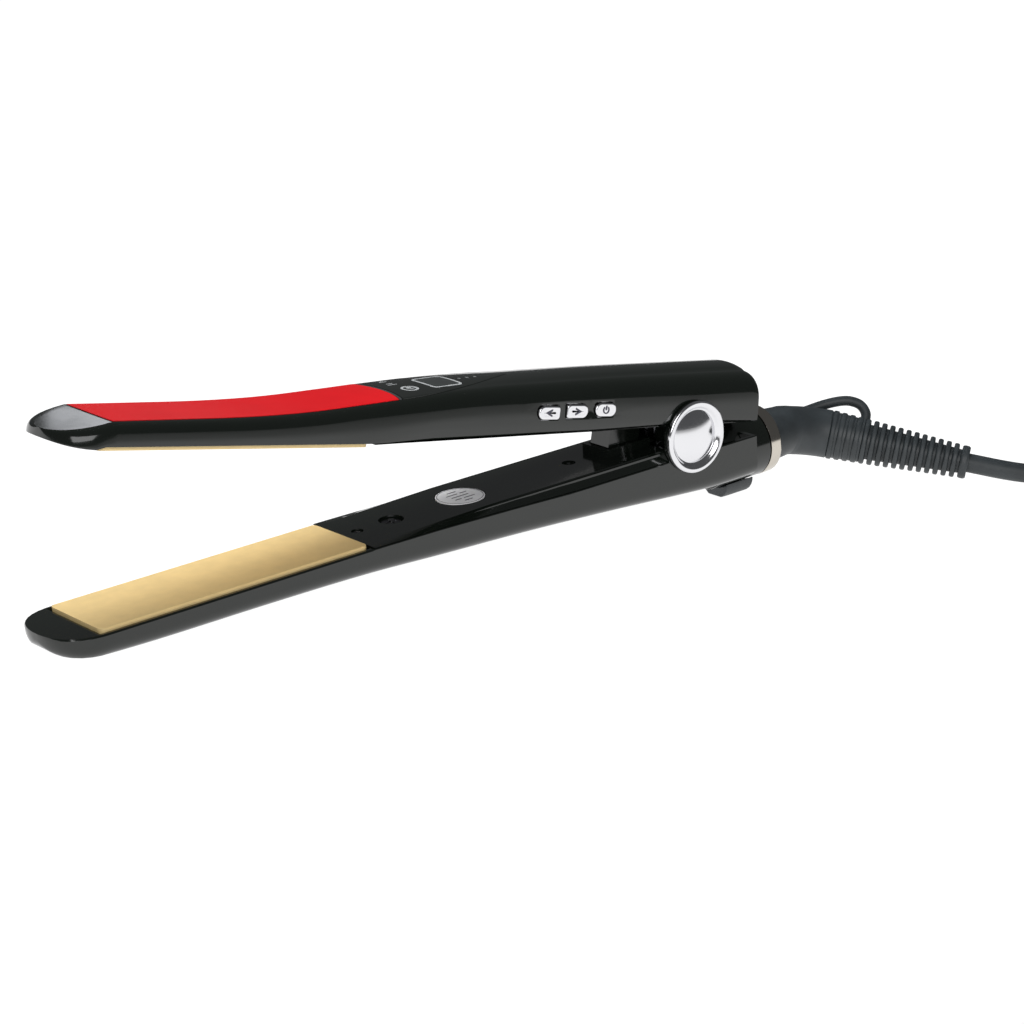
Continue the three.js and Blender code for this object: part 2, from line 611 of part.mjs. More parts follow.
function upperCover() {
  const face = (x) => {
    const high = along(UPPER_RIM, x) - GAP;
    const low = along(UPPER_FACE, x);
    return [[-HALF_WIDTH, high], [2.8 - HALF_WIDTH, low], [HALF_WIDTH - 2.8, low], [HALF_WIDTH, high]];
  };
  const tongue = (x) => {
    const b = HALF_WIDTH - WALL - GAP;
    const low = along(UPPER_FACE, x) + 0.3;
    return [[-b, low], [b, low], [b, low + 2.4], [-b, low + 2.4]];
  };
  const stations = [WINDOW_REAR_X + 0.01, ...range(-115, 17, 7)];
  const web = HALF_WIDTH - 2.3;
  const barrel = (from, to) => join(bar('y', from, to, KNUCKLE_RADIUS, [0, 0], 32),
    block([-KNUCKLE_RADIUS, from, 0], [KNUCKLE_RADIUS, to, 4]));
  return cut(join(loft([...stations, REAR_X - 0.01], face), loft([...stations, REAR_X - WALL - GAP], tongue),
    block([-24.6, -4.3, -5.9], [-12.5, 4.3, 3]),
    barrel(-web, -5), barrel(5, web)),
  bar('y', -4.9, 4.9, 6.3, [0, 0], 32), bar('y', -20, 20, PIN_RADIUS + 0.35, [0, 0], 24),
  block([0, -4.9, -2], [11, 4.9, 6]),
  ...[-1, 1].map((s) => bar('y', s < 0 ? -17 : 13.6, s < 0 ? -13.6 : 17, EAR_RADIUS + 0.5, [0, 0], 28)),
  ...UPPER_SCREWS.map((x) => bar('z', -5, 20, 1.2, [x, 0], 16)),
  ...UPPER_SCREWS.map((x) => bar('z', -5, along(UPPER_FACE, x) + 1.3, 2.2, [x, 0], 20)));
}
const UPPER_SCREWS = [-112, -44];

add(upperArm, 'upper_casing', upperCasing(), glossBlack());
add(upperArm, 'upper_inner_cover', upperCover(), glossBlack());
heating(upperArm, 'upper', -1);
add(upperArm, 'red_inlay', sheet(inlayOutline(), 0.15, INLAY_THICKNESS), finish(0xc4141c, 0.2));
add(upperArm, 'inlay_trim', sheet(trimOutline(), 0.2, INLAY_THICKNESS), chrome());
add(upperArm, 'control_panel', cut(sheet(leaf(PANEL_FRONT_X, 0, true), 0.1, INLAY_THICKNESS),
  prism(windowOutline(GAP), 3, 30, 4), ...LEDS.map((x) => bar('z', 3, 30, 0.8, [x, 0], 12))), glossBlack());
add(upperArm, 'display_window', sheet(windowOutline(0), 0.1, INLAY_THICKNESS), finish(0x2b3236, 0.1));

const DISPLAY_TOP = along(UPPER_TOP, WINDOW.x) - 4.1;
add(upperArm, 'display_module', block([-97, -7, DISPLAY_TOP - 2.2], [-87, 7, DISPLAY_TOP]),
  finish(0x8c9a8c, 0.4));
const BOARD_TOP = 6.7;
add(upperArm, 'control_board', block([-112, -8.7, BOARD_TOP - 1.6], [-36, 11.5, BOARD_TOP]), board());
add(upperArm, 'switch_board', block([-68, -10.2, 5], [-31, -9, 11.8]), board());
UPPER_SCREWS.forEach((x, i) => {
  const face = along(UPPER_FACE, x);
  add(upperArm, `handle_screw_${i + 1}`, join(bar('z', face + 0.3, face + 1.1, 1.9, [x, 0], 20),
    bar('z', face + 0.9, face + 2.6, 0.9, [x, 0], 12)), steel());
});
LEDS.forEach((x, i) => {
  const top = along(UPPER_TOP, x);
  add(upperArm, `light_pipe_${i + 1}`, bar('z', top - 5, top + 0.1, 0.5, [x, 0], 10), finish(0xdfe3e6, 0.2));
});
for (const [i, y] of [[1, -6], [2, 6]]) {
  add(upperArm, `upper_lead_${i}`, lead([-128, y, 2.9], [-113.5, y, 4.4], 0.9), finish(0xe9e6dc, 0.7));
}
BUTTON_X.forEach((x, i) => {
  const z = 7.6 + i * 0.45;
  const name = ['button_down', 'button_up', 'button_power'][i];
  const cap = sidePrism(buttonOutline(i, 0), -HALF_WIDTH - BUTTON_PROUD, -13);
  const flange = sidePrism(buttonOutline(i, 0.7), -13.6, -12.9);
  add(upperArm, name, join(cap, flange), chrome());
  add(upperArm, `tact_switch_${i + 1}`, join(block([x - 2.2, -11.7, z - 2], [x + 2.2, -10.2 - GAP, z + 2]),
    bar('y', -12.1, -11.6, 1.2, [x, z], 12)), satinBlack());
});

// ---------------------------------------------------------------- swivel, strain relief and hanging loop
add(lowerArm, 'swivel_stem', turned([[3.5, 0], [8.3, 0], [8.6, 0.3], [8.6, 5.9], [6, 5.9], [6, 10.4], [8.9, 10.4],
  [8.9, 19.1], [3.5, 19.1]], 'x').translate([22.3, 0, SWIVEL_Z]), satinBlack());

/** A round body along a curve, its radius given by the distance from the start, for each listed distance. */
function sweep(curve, distances, radiusAt, sides) {
  const length = curve.getLength();
  const tangents = distances.map((d) => curve.getTangentAt(d / length));
  let normal = new THREE.Vector3(0, 0, 1);
  const points = [];
  distances.forEach((d, i) => {
    const tangent = tangents[i];
    normal = normal.clone().addScaledVector(tangent, -normal.dot(tangent)).normalize();
    const across = new THREE.Vector3().crossVectors(tangent, normal);
    const centre = curve.getPointAt(d / length);
    for (let j = 0; j < sides; j += 1) {
      const a = (2 * Math.PI * j) / sides;
      const r = radiusAt(d);
      points.push(centre.clone().addScaledVector(normal, r * Math.sin(a))
        .addScaledVector(across, r * Math.cos(a)));
    }
  });
  points.push(curve.getPointAt(0), curve.getPointAt(1));
  const last = (distances.length - 1) * sides;
  const index = [];
  for (let j = 0; j < sides; j += 1) {
    const next = (j + 1) % sides;
    for (let i = 0; i + 1 < distances.length; i += 1) {
      const a = i * sides + j;
      const b = i * sides + next;
      index.push(a, a + sides, b, b, a + sides, b + sides);
    }
    index.push(points.length - 2, j, next, points.length - 1, last + next, last + j);
  }
  const geometry = new THREE.BufferGeometry().setFromPoints(points);
  geometry.setIndex(index);
  return solid(geometry);
}

const reliefAxis = new THREE.Vector3(Math.cos(PITCH), 0, Math.sin(PITCH));
const reliefRun = RELIEF_END.clone().sub(RELIEF_BEND).normalize();
const bendStart = RELIEF_START.clone().addScaledVector(reliefAxis, 11);
const bendEnd = RELIEF_BEND.clone().addScaledVector(reliefRun, 8);
const reliefPath = new THREE.CurvePath();
reliefPath.add(new THREE.LineCurve3(RELIEF_START, bendStart));
reliefPath.add(new THREE.QuadraticBezierCurve3(bendStart, RELIEF_BEND, bendEnd));
reliefPath.add(new THREE.LineCurve3(bendEnd, RELIEF_END));
const reliefLength = reliefPath.getLength();
const ribsStart = reliefLength - RIBS * RIB_PITCH;

/** The relief's radius at each distance, and the distances at which its section changes. */
const reliefProfile = [[0, 8.9], [3, 8.8], [8, 8.3], [14, 8.0], [18, 8.0], [22, 8.0], [26, 8.0],
  [ribsStart - 0.5, 8.0]];
for (let i = 0; i < RIBS; i += 1) {
  const start = ribsStart + i * RIB_PITCH;
  const radius = along([[0, 8.1], [4, 7.5], [5, 7.4], [RIBS - 1, 5.5]], i);
  const groove = i < 4 ? 0.5 : 1.7;
  const width = i === RIBS - 1 ? RIB_PITCH : 1.6;
  reliefProfile.push([start + 0.05, radius], [start + width, radius]);
  if (i < RIBS - 1) {
    reliefProfile.push([start + width + 0.05, radius - groove], [start + RIB_PITCH, radius - groove]);
  }
}
reliefProfile.push([reliefLength, 5.4]);
const relief = sweep(reliefPath, reliefProfile.map(([d]) => d), (d) => along(reliefProfile, d), 16);
add(iron, 'strain_relief', relief, rubber());

const LOOP_TILT = 35 * DEG; // the loop leans to the far side
const loopUp = new THREE.Vector3(0.774, 0.633, 0).multiplyScalar(Math.sin(LOOP_TILT))
  .add(new THREE.Vector3(0, 0, Math.cos(LOOP_TILT)));
const loopPath = new THREE.CatmullRomCurve3([[-4.5, 4.5], [-1, 6.6], [4, 9.6], [9, 12], [13, 13], [16.6, 12.3],
  [18.6, 9.6], [18.2, 6.2], [17.2, 3]].map(([s, h]) => RELIEF_BEND.clone()
  .addScaledVector(reliefRun, s).addScaledVector(loopUp, h)));
const loopSteps = range(0, loopPath.getLength(), 18);
const reliefSpace = sweep(reliefPath, range(0, reliefLength, 24), (d) => 0.3 + (d < 36 ? 8.15 : 8.0), 16);
const strap = cut(sweep(loopPath, loopSteps, () => 1.65, 12), reliefSpace);
add(iron, 'hanging_loop', strap, rubber());

// ---------------------------------------------------------------- cord, hank, tie and plug
/** The cord's route from the strain relief to the hank. */
const LEAD = [[191.4, -41.8, 7.0], [194.2, -44.9, 6.3], [197.3, -48.1, 5.5], [200.8, -51.2, 4.7],
  [204.6, -54.2, 4.0], [209.8, -57.8, 3.45], [216, -60.7, 3.2], [223, -62.5, 3.2], [231, -63.1, 3.2],
  [242, -63.1, 3.2], [254, -63.1, 3.3], [266, -63.1, 3.7], [277, -63.1, 4.15], [286.5, -63.1, 4.25]];
/** Its end, from the top of the hank to the plug. */
const TAIL = [[299, -56.8, 17.3], [306, -56.8, 17.9], [314, -56.8, 18.5], [322, -56.8, 19],
  [PLUG_X - 0.5, -56.8, PLUG_Z]];
add(iron, 'power_cord', tube(LEAD, CORD_DIAMETER / 2, 10, 14), rubber());
add(iron, 'cord_tail', tube(TAIL, CORD_DIAMETER / 2, 10, 6), rubber());

function stadium(width) {
  const shape = new THREE.Shape();
  const radius = width / 2;
  const farX = HANK_NEAR_X + HANK_STRAIGHT;
  shape.absarc(farX, HANK_Y, radius, -Math.PI / 2, Math.PI / 2);
  shape.absarc(HANK_NEAR_X, HANK_Y, radius, Math.PI / 2, 1.5 * Math.PI);
  return shape;
}
const HANK_WIDTH = HANK_HOLE + 2 * HANK_LANES * CORD_DIAMETER;
const HANK_TOP = HANK_LIFT + 2 * CORD_DIAMETER;
const laneY = HANK_Y - HANK_WIDTH / 2;
add(iron, 'cord_hank', join(cut(prism(stadium(HANK_WIDTH), HANK_LIFT, HANK_TOP, 16),
  prism(stadium(HANK_HOLE), 0, 20, 12)),
block([LEAD.at(-1)[0] + GAP, laneY, HANK_LIFT], [HANK_NEAR_X, laneY + CORD_DIAMETER, HANK_LIFT + CORD_DIAMETER])),
rubber());

function bandOutline(grow, radius) {
  return roundedRectangle(HANK_Y, (HANK_LIFT + HANK_TOP) / 2, HANK_WIDTH + 2 * grow,
    HANK_TOP - HANK_LIFT + 2 * grow, radius);
}
const band = new THREE.ExtrudeGeometry(bandOutline(HANK_LIFT - 0.05, 1.4), {
  depth: 10, bevelEnabled: false, curveSegments: 3,
});
const bandInside = new THREE.ExtrudeGeometry(bandOutline(GAP, 0.4), {
  depth: 12, bevelEnabled: false, curveSegments: 1,
});
const alongX = (geometry, x) => solid(geometry.rotateX(Math.PI / 2).rotateZ(Math.PI / 2).translate(x, 0, 0));
add(iron, 'cord_tie', cut(alongX(band, 308), alongX(bandInside, 307)), satinBlack());

const PLUG_HEIGHT = 11;
const PLUG_WIDTH = 18.4;
const PLUG_Y = TAIL.at(-1)[1];
const plugNeck = turned([[0, 0], [4.3, 0], [4.9, 1], [5.2, 13.9], [0, 13.9]], 'x', 24)
  .translate([PLUG_X, PLUG_Y, PLUG_Z]);
const plugOutline = roundedRectangle(PLUG_Y, PLUG_Z, PLUG_WIDTH, PLUG_HEIGHT, 3.5);
const plugGrip = new THREE.ExtrudeGeometry(plugOutline, {
  depth: 23, bevelSize: 1.2, bevelThickness: 1.2, bevelOffset: -1.2, bevelSegments: 1, curveSegments: 3,
});
const plugFrom = PLUG_X + 13.5;
const BLADES = [-6.35, 6.35];
const bladeFrom = plugFrom + 20;
const blade = (y, grow) => block([bladeFrom - grow, PLUG_Y + y - 0.75 - grow, PLUG_Z - 3.2 - grow],
  [plugFrom + 24.2 + 16, PLUG_Y + y + 0.75 + grow, PLUG_Z + 3.2 + grow]);
add(iron, 'plug_body', cut(join(plugNeck, alongX(plugGrip, plugFrom)), ...BLADES.map((y) => blade(y, 0.05))),
  satinBlack());
BLADES.forEach((y, i) => add(iron, `plug_blade_${i + 1}`, blade(y, 0), finish(0xc9b26a, 0.3, 1)));

export default iron;
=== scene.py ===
"""Hair straightener with sprung arms, floating plates and a swivel cord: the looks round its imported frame."""
import json
from math import asin, cos, pi, radians, sin, sqrt

import bmesh
import bpy
from mathutils import Matrix, Vector


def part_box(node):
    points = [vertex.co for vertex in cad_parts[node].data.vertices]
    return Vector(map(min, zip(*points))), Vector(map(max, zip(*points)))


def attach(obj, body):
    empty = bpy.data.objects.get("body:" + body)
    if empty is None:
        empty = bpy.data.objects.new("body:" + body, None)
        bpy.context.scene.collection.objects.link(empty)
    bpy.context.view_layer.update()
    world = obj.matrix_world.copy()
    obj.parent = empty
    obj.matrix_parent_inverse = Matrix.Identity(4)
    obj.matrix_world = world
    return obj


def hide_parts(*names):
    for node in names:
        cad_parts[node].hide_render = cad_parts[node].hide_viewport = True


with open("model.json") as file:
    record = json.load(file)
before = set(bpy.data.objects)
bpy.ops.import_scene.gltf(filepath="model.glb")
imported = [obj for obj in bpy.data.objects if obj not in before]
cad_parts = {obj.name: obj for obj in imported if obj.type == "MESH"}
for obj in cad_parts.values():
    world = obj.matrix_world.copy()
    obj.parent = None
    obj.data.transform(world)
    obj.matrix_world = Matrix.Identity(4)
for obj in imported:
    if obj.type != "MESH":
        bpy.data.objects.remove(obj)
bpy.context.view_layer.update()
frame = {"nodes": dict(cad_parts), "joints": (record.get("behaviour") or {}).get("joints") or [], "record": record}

bl_info = {
    "name": "Hair straightener",
    "version": (1, 0, 0),
    "blender": (4, 5, 0),
    "location": "View3D > Sidebar > Straightener",
    "description": "Builds a hair straightener piece by piece on its packed frame",
    "category": "Object",
}

MM = 0.001
JOINTS = {joint["name"]: joint for joint in frame["joints"]}
PIVOT = Vector(JOINTS["arm_pivot"]["pos_m"])
SWIVEL_AXIS = Vector(JOINTS["cord_swivel_turn"]["axis"])
PITCH = asin(SWIVEL_AXIS.z)
OPENING = radians(JOINTS["arm_pivot"]["range_deg"][1])
LOWER = Matrix.Translation(PIVOT) @ Matrix.Rotation(-PITCH, 4, "Y")
UPPER = Matrix.Translation(PIVOT) @ Matrix.Rotation(OPENING - PITCH, 4, "Y")
ROW = Matrix.Identity(4)


class StraightenerSizes(bpy.types.PropertyGroup):
    """Sizes of the straightener's visible pieces."""

    casing_edge: bpy.props.FloatProperty(
        name="Casing edge", description="Width of the small bevel along the casings' edges",
        default=0.00032, min=0, max=0.001, unit="LENGTH")
    trim_edge: bpy.props.FloatProperty(
        name="Trim edge", description="Width of the bevel on inlays, buttons and small pieces",
        default=0.00015, min=0, max=0.001, unit="LENGTH")
    cord_diameter: bpy.props.FloatProperty(
        name="Cord diameter", description="Thickness of the power cord",
        default=0.0063, min=0.004, max=0.009, unit="LENGTH")
    cord_length: bpy.props.FloatProperty(
        name="Cord length", description="Length of the power cord from strain relief to plug",
        default=1.8, min=1.5, max=3, unit="LENGTH")
    floor_size: bpy.props.FloatProperty(
        name="Floor size", description="Length of the floor's sides",
        default=14, min=2, max=40, unit="LENGTH")


class StraightenerColours(bpy.types.PropertyGroup):
    """Colours of the straightener's finishes."""

    casing: bpy.props.FloatVectorProperty(
        name="Casing", description="Glossy casing plastic", subtype="COLOR", size=4,
        default=(0.0055, 0.0075, 0.0058, 1), min=0, max=1)
    inlay: bpy.props.FloatVectorProperty(
        name="Inlay", description="Lacquered inlay on the upper arm", subtype="COLOR", size=4,
        default=(0.58, 0.007, 0.011, 1), min=0, max=1)
    plates: bpy.props.FloatVectorProperty(
        name="Plates", description="Coating of the heating plates", subtype="COLOR", size=4,
        default=(0.75, 0.567, 0.272, 1), min=0, max=1)
    cord: bpy.props.FloatVectorProperty(
        name="Cord", description="Cord, strain relief and hanging loop", subtype="COLOR", size=4,
        default=(0.024, 0.029, 0.032, 1), min=0, max=1)


def sizes():
    return bpy.context.scene.straightener_sizes


def colours():
    return bpy.context.scene.straightener_colours


# ---------------------------------------------------------------- materials
def plain(name, colour, roughness, metallic=0.0, **sockets):
    """A new material and its shader node, with plain values on the shader's own sockets."""
    material = bpy.data.materials.new(name)
    material.use_nodes = True
    shader = material.node_tree.nodes["Principled BSDF"]
    shader.inputs["Base Color"].default_value = (*colour[:3], 1)
    shader.inputs["Roughness"].default_value = roughness
    shader.inputs["Metallic"].default_value = metallic
    for socket, value in sockets.items():
        shader.inputs[socket.replace("_", " ")].default_value = value
    return material, shader


def link(material, source, target):
    material.node_tree.links.new(source, target)


def noise(material, scale, detail=3.0, stretch=(1, 1, 1)):
    """A noise pattern in the piece's own metres; its fineness is scale per metre."""
    nodes = material.node_tree.nodes
    place = nodes.new("ShaderNodeTexCoord")
    mapping = nodes.new("ShaderNodeMapping")
    mapping.inputs["Scale"].default_value = stretch
    texture = nodes.new("ShaderNodeTexNoise")
    texture.inputs["Scale"].default_value = scale
    texture.inputs["Detail"].default_value = detail
    link(material, place.outputs["Object"], mapping.inputs["Vector"])
    link(material, mapping.outputs["Vector"], texture.inputs["Vector"])
    return texture.outputs["Fac"]


def vary(material, pattern, socket, low, high):
    """Drives a shader socket between low and high from a pattern."""
    spread = material.node_tree.nodes.new("ShaderNodeMapRange")
    spread.inputs["From Min"].default_value = 0.3
    spread.inputs["From Max"].default_value = 0.7
    spread.inputs["To Min"].default_value = low
    spread.inputs["To Max"].default_value = high
    link(material, pattern, spread.inputs["Value"])
    link(material, spread.outputs["Result"], socket)


def bump(material, shader, pattern, strength, depth):
    """Roughens the surface a little from a pattern, to a depth in metres."""
    node = material.node_tree.nodes.new("ShaderNodeBump")
    node.inputs["Strength"].default_value = strength
    node.inputs["Distance"].default_value = depth
    link(material, pattern, node.inputs["Height"])
    link(material, node.outputs["Normal"], shader.inputs["Normal"])


def tint(material, pattern, shader, dark, light):
    """Mixes two colours of the same finish by a pattern."""
    ramp = material.node_tree.nodes.new("ShaderNodeValToRGB")
    ramp.color_ramp.elements[0].position = 0.3
    ramp.color_ramp.elements[1].position = 0.7
    ramp.color_ramp.elements[0].color = (*dark[:3], 1)
    ramp.color_ramp.elements[1].color = (*light[:3], 1)
    link(material, pattern, ramp.inputs["Fac"])
    link(material, ramp.outputs["Color"], shader.inputs["Base Color"])


def shade(colour, factor):
    """The colour made darker or lighter."""
    return tuple(min(1, c * factor) for c in colour[:3])


def gloss_black():
    """Polished injection-moulded plastic with a faint orange-peel and handling haze."""
    base = colours().casing
    material, shader = plain("polished_black_plastic", base, 0.1, IOR=1.56)
    vary(material, noise(material, 55, 5), shader.inputs["Roughness"], 0.07, 0.15)
    bump(material, shader, noise(material, 420, 2), 0.05, 0.00004)
    return material


def satin_black():
    """Fine spark-eroded plastic."""
    material, shader = plain("satin_black_plastic", (0.018, 0.02, 0.021), 0.42)
    tint(material, noise(material, 700, 4), shader, (0.014, 0.016, 0.017), (0.024, 0.026, 0.027))
    bump(material, shader, noise(material, 3200, 3), 0.25, 0.00005)
    return material


def cord_rubber():
    """Soft PVC with a dull bloom."""
    base = colours().cord
    material, shader = plain("soft_grey_rubber", base, 0.5)
    tint(material, noise(material, 160, 5), shader, shade(base, 0.8), shade(base, 1.2))
    vary(material, noise(material, 90, 4), shader.inputs["Roughness"], 0.42, 0.58)
    bump(material, shader, noise(material, 1800, 4), 0.2, 0.00006)
    return material


def chrome():
    """Bright plating with faint polishing haze."""
    material, shader = plain("bright_plating", (0.74, 0.74, 0.76), 0.05, 1.0)
    vary(material, noise(material, 120, 5), shader.inputs["Roughness"], 0.1, 0.16)
    return material


def warm_plating():
    """Nickel plating, a little warmer and duller than the bright plating."""
    material, shader = plain("nickel_plating", (0.56, 0.52, 0.46), 0.12, 1.0)
    vary(material, noise(material, 120, 5), shader.inputs["Roughness"], 0.1, 0.18)
    return material


def steel():
    """Steel with a lengthwise grain, its colour darkened to near black: painted shade for the spring in the hinge
    gap and the recessed screw heads.
    """
    material, shader = plain("shade_darkened_steel", (0.11, 0.11, 0.12), 0.3, 1.0)
    grain = noise(material, 900, 3, (0.08, 1, 1))
    vary(material, grain, shader.inputs["Roughness"], 0.22, 0.42)
    bump(material, shader, grain, 0.12, 0.00003)
    return material


def ceramic():
    """Pale gold ceramic coating, sprayed and baked, with a fine mineral grain."""
    base = colours().plates
    material, shader = plain("ceramic_coating", base, 0.36, IOR=1.45)
    tint(material, noise(material, 240, 6), shader, shade(base, 0.95), shade(base, 1.04))
    vary(material, noise(material, 70, 4), shader.inputs["Roughness"], 0.3, 0.42)
    bump(material, shader, noise(material, 4200, 2), 0.12, 0.00003)
    return material


def red_lacquer():
    """Deep red lacquer with hardly any gloss."""
    base = colours().inlay
    material, shader = plain("red_lacquer", base, 0.24, Specular_IOR_Level=0.05)
    tint(material, noise(material, 60, 4), shader, shade(base, 0.95), shade(base, 1.05))
    bump(material, shader, noise(material, 500, 2), 0.04, 0.00004)
    return material


def window_tint():
    """Dark display window with a faint green cast."""
    material, shader = plain("tinted_window", (0.02, 0.025, 0.024), 0.06, Coat_Weight=0.6,
                             Coat_Roughness=0.03)
    tint(material, noise(material, 110, 3), shader, (0.016, 0.02, 0.019), (0.028, 0.034, 0.032))
    return material


def silver_print():
    """Silver ink, slightly uneven."""
    material, shader = plain("silver_ink", (0.5, 0.52, 0.53), 0.35, 0.2)
    tint(material, noise(material, 900, 4), shader, (0.42, 0.44, 0.45), (0.58, 0.6, 0.61))
    return material


def clear_lens():
    """Clear plastic over an unlit lamp."""
    material, shader = plain("clear_lens", (0.16, 0.17, 0.17), 0.2)
    tint(material, noise(material, 800, 2), shader, (0.13, 0.14, 0.14), (0.19, 0.2, 0.2))
    return material


def dark_print():
    material, shader = plain("dark_ink", (0.05, 0.05, 0.07), 0.5)
    tint(material, noise(material, 900, 3), shader, (0.035, 0.035, 0.05), (0.07, 0.07, 0.1))
    return material


def silver_label():
    """Brushed foil label. Its near-white base is painted light: it is brightened to make up for the upper arm's
    shade over it.
    """
    material, shader = plain("foil_label_painted_bright", (0.95, 0.95, 0.97), 0.4)
    grain = noise(material, 1400, 3, (1, 0.06, 1))
    tint(material, grain, shader, (0.9, 0.9, 0.92), (0.98, 0.98, 1))
    vary(material, grain, shader.inputs["Roughness"], 0.28, 0.42)
    return material


def insulation():
    """Off-white silicone and fired ceramic."""
    material, shader = plain("white_insulation", (0.74, 0.71, 0.63), 0.55)
    tint(material, noise(material, 300, 4), shader, (0.66, 0.63, 0.55), (0.8, 0.77, 0.7))
    bump(material, shader, noise(material, 2500, 3), 0.2, 0.00004)
    return material


def foam():
    """Red-brown silicone foam with open pores."""
    material, shader = plain("silicone_foam", (0.4, 0.07, 0.035), 0.85)
    pores = material.node_tree.nodes.new("ShaderNodeTexVoronoi")
    pores.inputs["Scale"].default_value = 1500
    link(material, noise(material, 20), pores.inputs["Randomness"])
    tint(material, pores.outputs["Distance"], shader, (0.22, 0.03, 0.015), (0.45, 0.08, 0.04))
    bump(material, shader, pores.outputs["Distance"], 0.6, 0.0002)
    return material


def circuit_board():
    """Green solder mask with paler tracks under it."""
    material, shader = plain("solder_mask", (0.02, 0.12, 0.05), 0.35)
    tracks = material.node_tree.nodes.new("ShaderNodeTexBrick")
    tracks.inputs["Scale"].default_value = 220
    tracks.inputs["Mortar Size"].default_value = 0.03
    place = material.node_tree.nodes.new("ShaderNodeTexCoord")
    link(material, place.outputs["Object"], tracks.inputs["Vector"])
    tint(material, tracks.outputs["Fac"], shader, (0.015, 0.1, 0.04), (0.03, 0.2, 0.08))
    return material


def display_grey():
    material, shader = plain("display_module", (0.25, 0.3, 0.26), 0.25)
    tint(material, noise(material, 500, 3), shader, (0.21, 0.26, 0.22), (0.29, 0.34, 0.3))
    return material


def brass():
    material, shader = plain("drawn_brass", (0.66, 0.5, 0.2), 0.25, 1.0)
    vary(material, noise(material, 600, 3, (0.1, 1, 1)), shader.inputs["Roughness"], 0.18, 0.36)
    return material


def light_table():
    """Pale floor that glows as a lit sweep does, less towards its front edge."""
    material, shader = plain("pale_floor", (0.12, 0.12, 0.12), 0.7)
    shader.inputs["Emission Color"].default_value = (1, 1, 1, 1)
    shader.inputs["Specular IOR Level"].default_value = 0.1
    tint(material, noise(material, 2, 2), shader, (0.115, 0.115, 0.115), (0.125, 0.125, 0.125))
    nodes = material.node_tree.nodes
    place = nodes.new("ShaderNodeTexCoord")
    split = nodes.new("ShaderNodeSeparateXYZ")
    fade = nodes.new("ShaderNodeMapRange")
    for socket, value in (("From Min", -0.52), ("From Max", -0.26), ("To Min", 0.45), ("To Max", 1.0)):
        fade.inputs[socket].default_value = value
    link(material, place.outputs["Object"], split.inputs["Vector"])
    link(material, split.outputs["Y"], fade.inputs["Value"])
    link(material, fade.outputs["Result"], shader.inputs["Emission Strength"])
    return material


MAKERS = {
    "gloss_black": gloss_black, "satin_black": satin_black, "cord_rubber": cord_rubber,
    "chrome": chrome, "warm_plating": warm_plating, "steel": steel, "brass": brass,
    "ceramic": ceramic, "red_gloss": red_lacquer, "window": window_tint, "clear_lens": clear_lens,
    "label": silver_label, "silver_print": silver_print, "dark_print": dark_print,
    "white_insulation": insulation, "cushion": foam, "board": circuit_board, "display": display_grey,
}
made_finishes = {}


def finish_of(slot):
    """The finish for one of the record's material slots or for a print, made once."""
    if slot not in made_finishes:
        made_finishes[slot] = MAKERS[slot]()
    return made_finishes[slot]


# ---------------------------------------------------------------- mesh helpers
def link_mesh(name, mesh):
    obj = bpy.data.objects.new(name, mesh)
    bpy.context.scene.collection.objects.link(obj)
    return obj


def from_points(name, points, faces, place=ROW):
    """A mesh object from points in an arm's or the row's millimetres."""
    mesh = bpy.data.meshes.new(name)
    mesh.from_pydata([place @ (Vector(p) * MM) for p in points], [], faces)
    shape = bmesh.new()
    shape.from_mesh(mesh)
    bmesh.ops.recalc_face_normals(shape, faces=shape.faces)
    shape.to_mesh(mesh)
    shape.free()
    return link_mesh(name, mesh)


def rings_to_faces(rings, closed_ends=True):
    """Quads between rings of equal length, and one flat face at each end."""
    n = len(rings[0])
    points = [p for ring in rings for p in ring]
    faces = []
    for i in range(len(rings) - 1):
        for j in range(n):
            k = (j + 1) % n
            faces.append((i * n + j, i * n + k, (i + 1) * n + k, (i + 1) * n + j))
    if closed_ends:
        last = (len(rings) - 1) * n
        faces.append(tuple(reversed(range(n))))
        faces.append(tuple(range(last, last + n)))
    return points, faces


def loft(name, stations, section, place):
    """A body through the sections at stations along X."""
    rings = [[(x, y, z) for y, z in section(x)] for x in stations]
    return from_points(name, *rings_to_faces(rings), place)


def lathe(name, profile, start, axis, sides=96, place=ROW):
    """A turned piece: profile of (radius, distance along axis from start), closed on itself."""
    axis = Vector(axis).normalized()
    side = axis.orthogonal().normalized()
    other = axis.cross(side)
    rings = []
    for k in range(sides):
        a = 2 * pi * k / sides
        out = side * cos(a) + other * sin(a)
        rings.append([Vector(start) + axis * h + out * r for r, h in profile])
    n = len(profile)
    points = [p for ring in rings for p in ring]
    faces = []
    for k in range(sides):
        m = (k + 1) % sides
        for j in range(n):
            i = (j + 1) % n
            faces.append((k * n + j, k * n + i, m * n + i, m * n + j))
    obj = from_points(name, points, faces, place)
    clean(obj)
    return obj


def clean(obj, distance=2e-6):
    """Joins points that lie together and drops what that leaves without size."""
    shape = bmesh.new()
    shape.from_mesh(obj.data)
    bmesh.ops.remove_doubles(shape, verts=shape.verts, dist=distance)
    bmesh.ops.dissolve_degenerate(shape, edges=shape.edges, dist=1e-7)
    bmesh.ops.recalc_face_normals(shape, faces=shape.faces)
    shape.to_mesh(obj.data)
    shape.free()


def prism(name, outline, low, high, place, axis="z"):
    """A straight prism along an axis, of an outline given in the other two axes."""
    if axis == "z":
        rings = [[(x, y, h) for x, y in outline] for h in (low, high)]
    elif axis == "x":
        rings = [[(h, x, y) for x, y in outline] for h in (low, high)]
    else:
        rings = [[(x, h, z) for x, z in outline] for h in (low, high)]
    return from_points(name, *rings_to_faces(rings), place)


def arc(cx, cy, radius, start, end, steps=8):
    angles = [start + (end - start) * k / steps for k in range(steps + 1)]
    return [(cx + radius * cos(a), cy + radius * sin(a)) for a in angles]


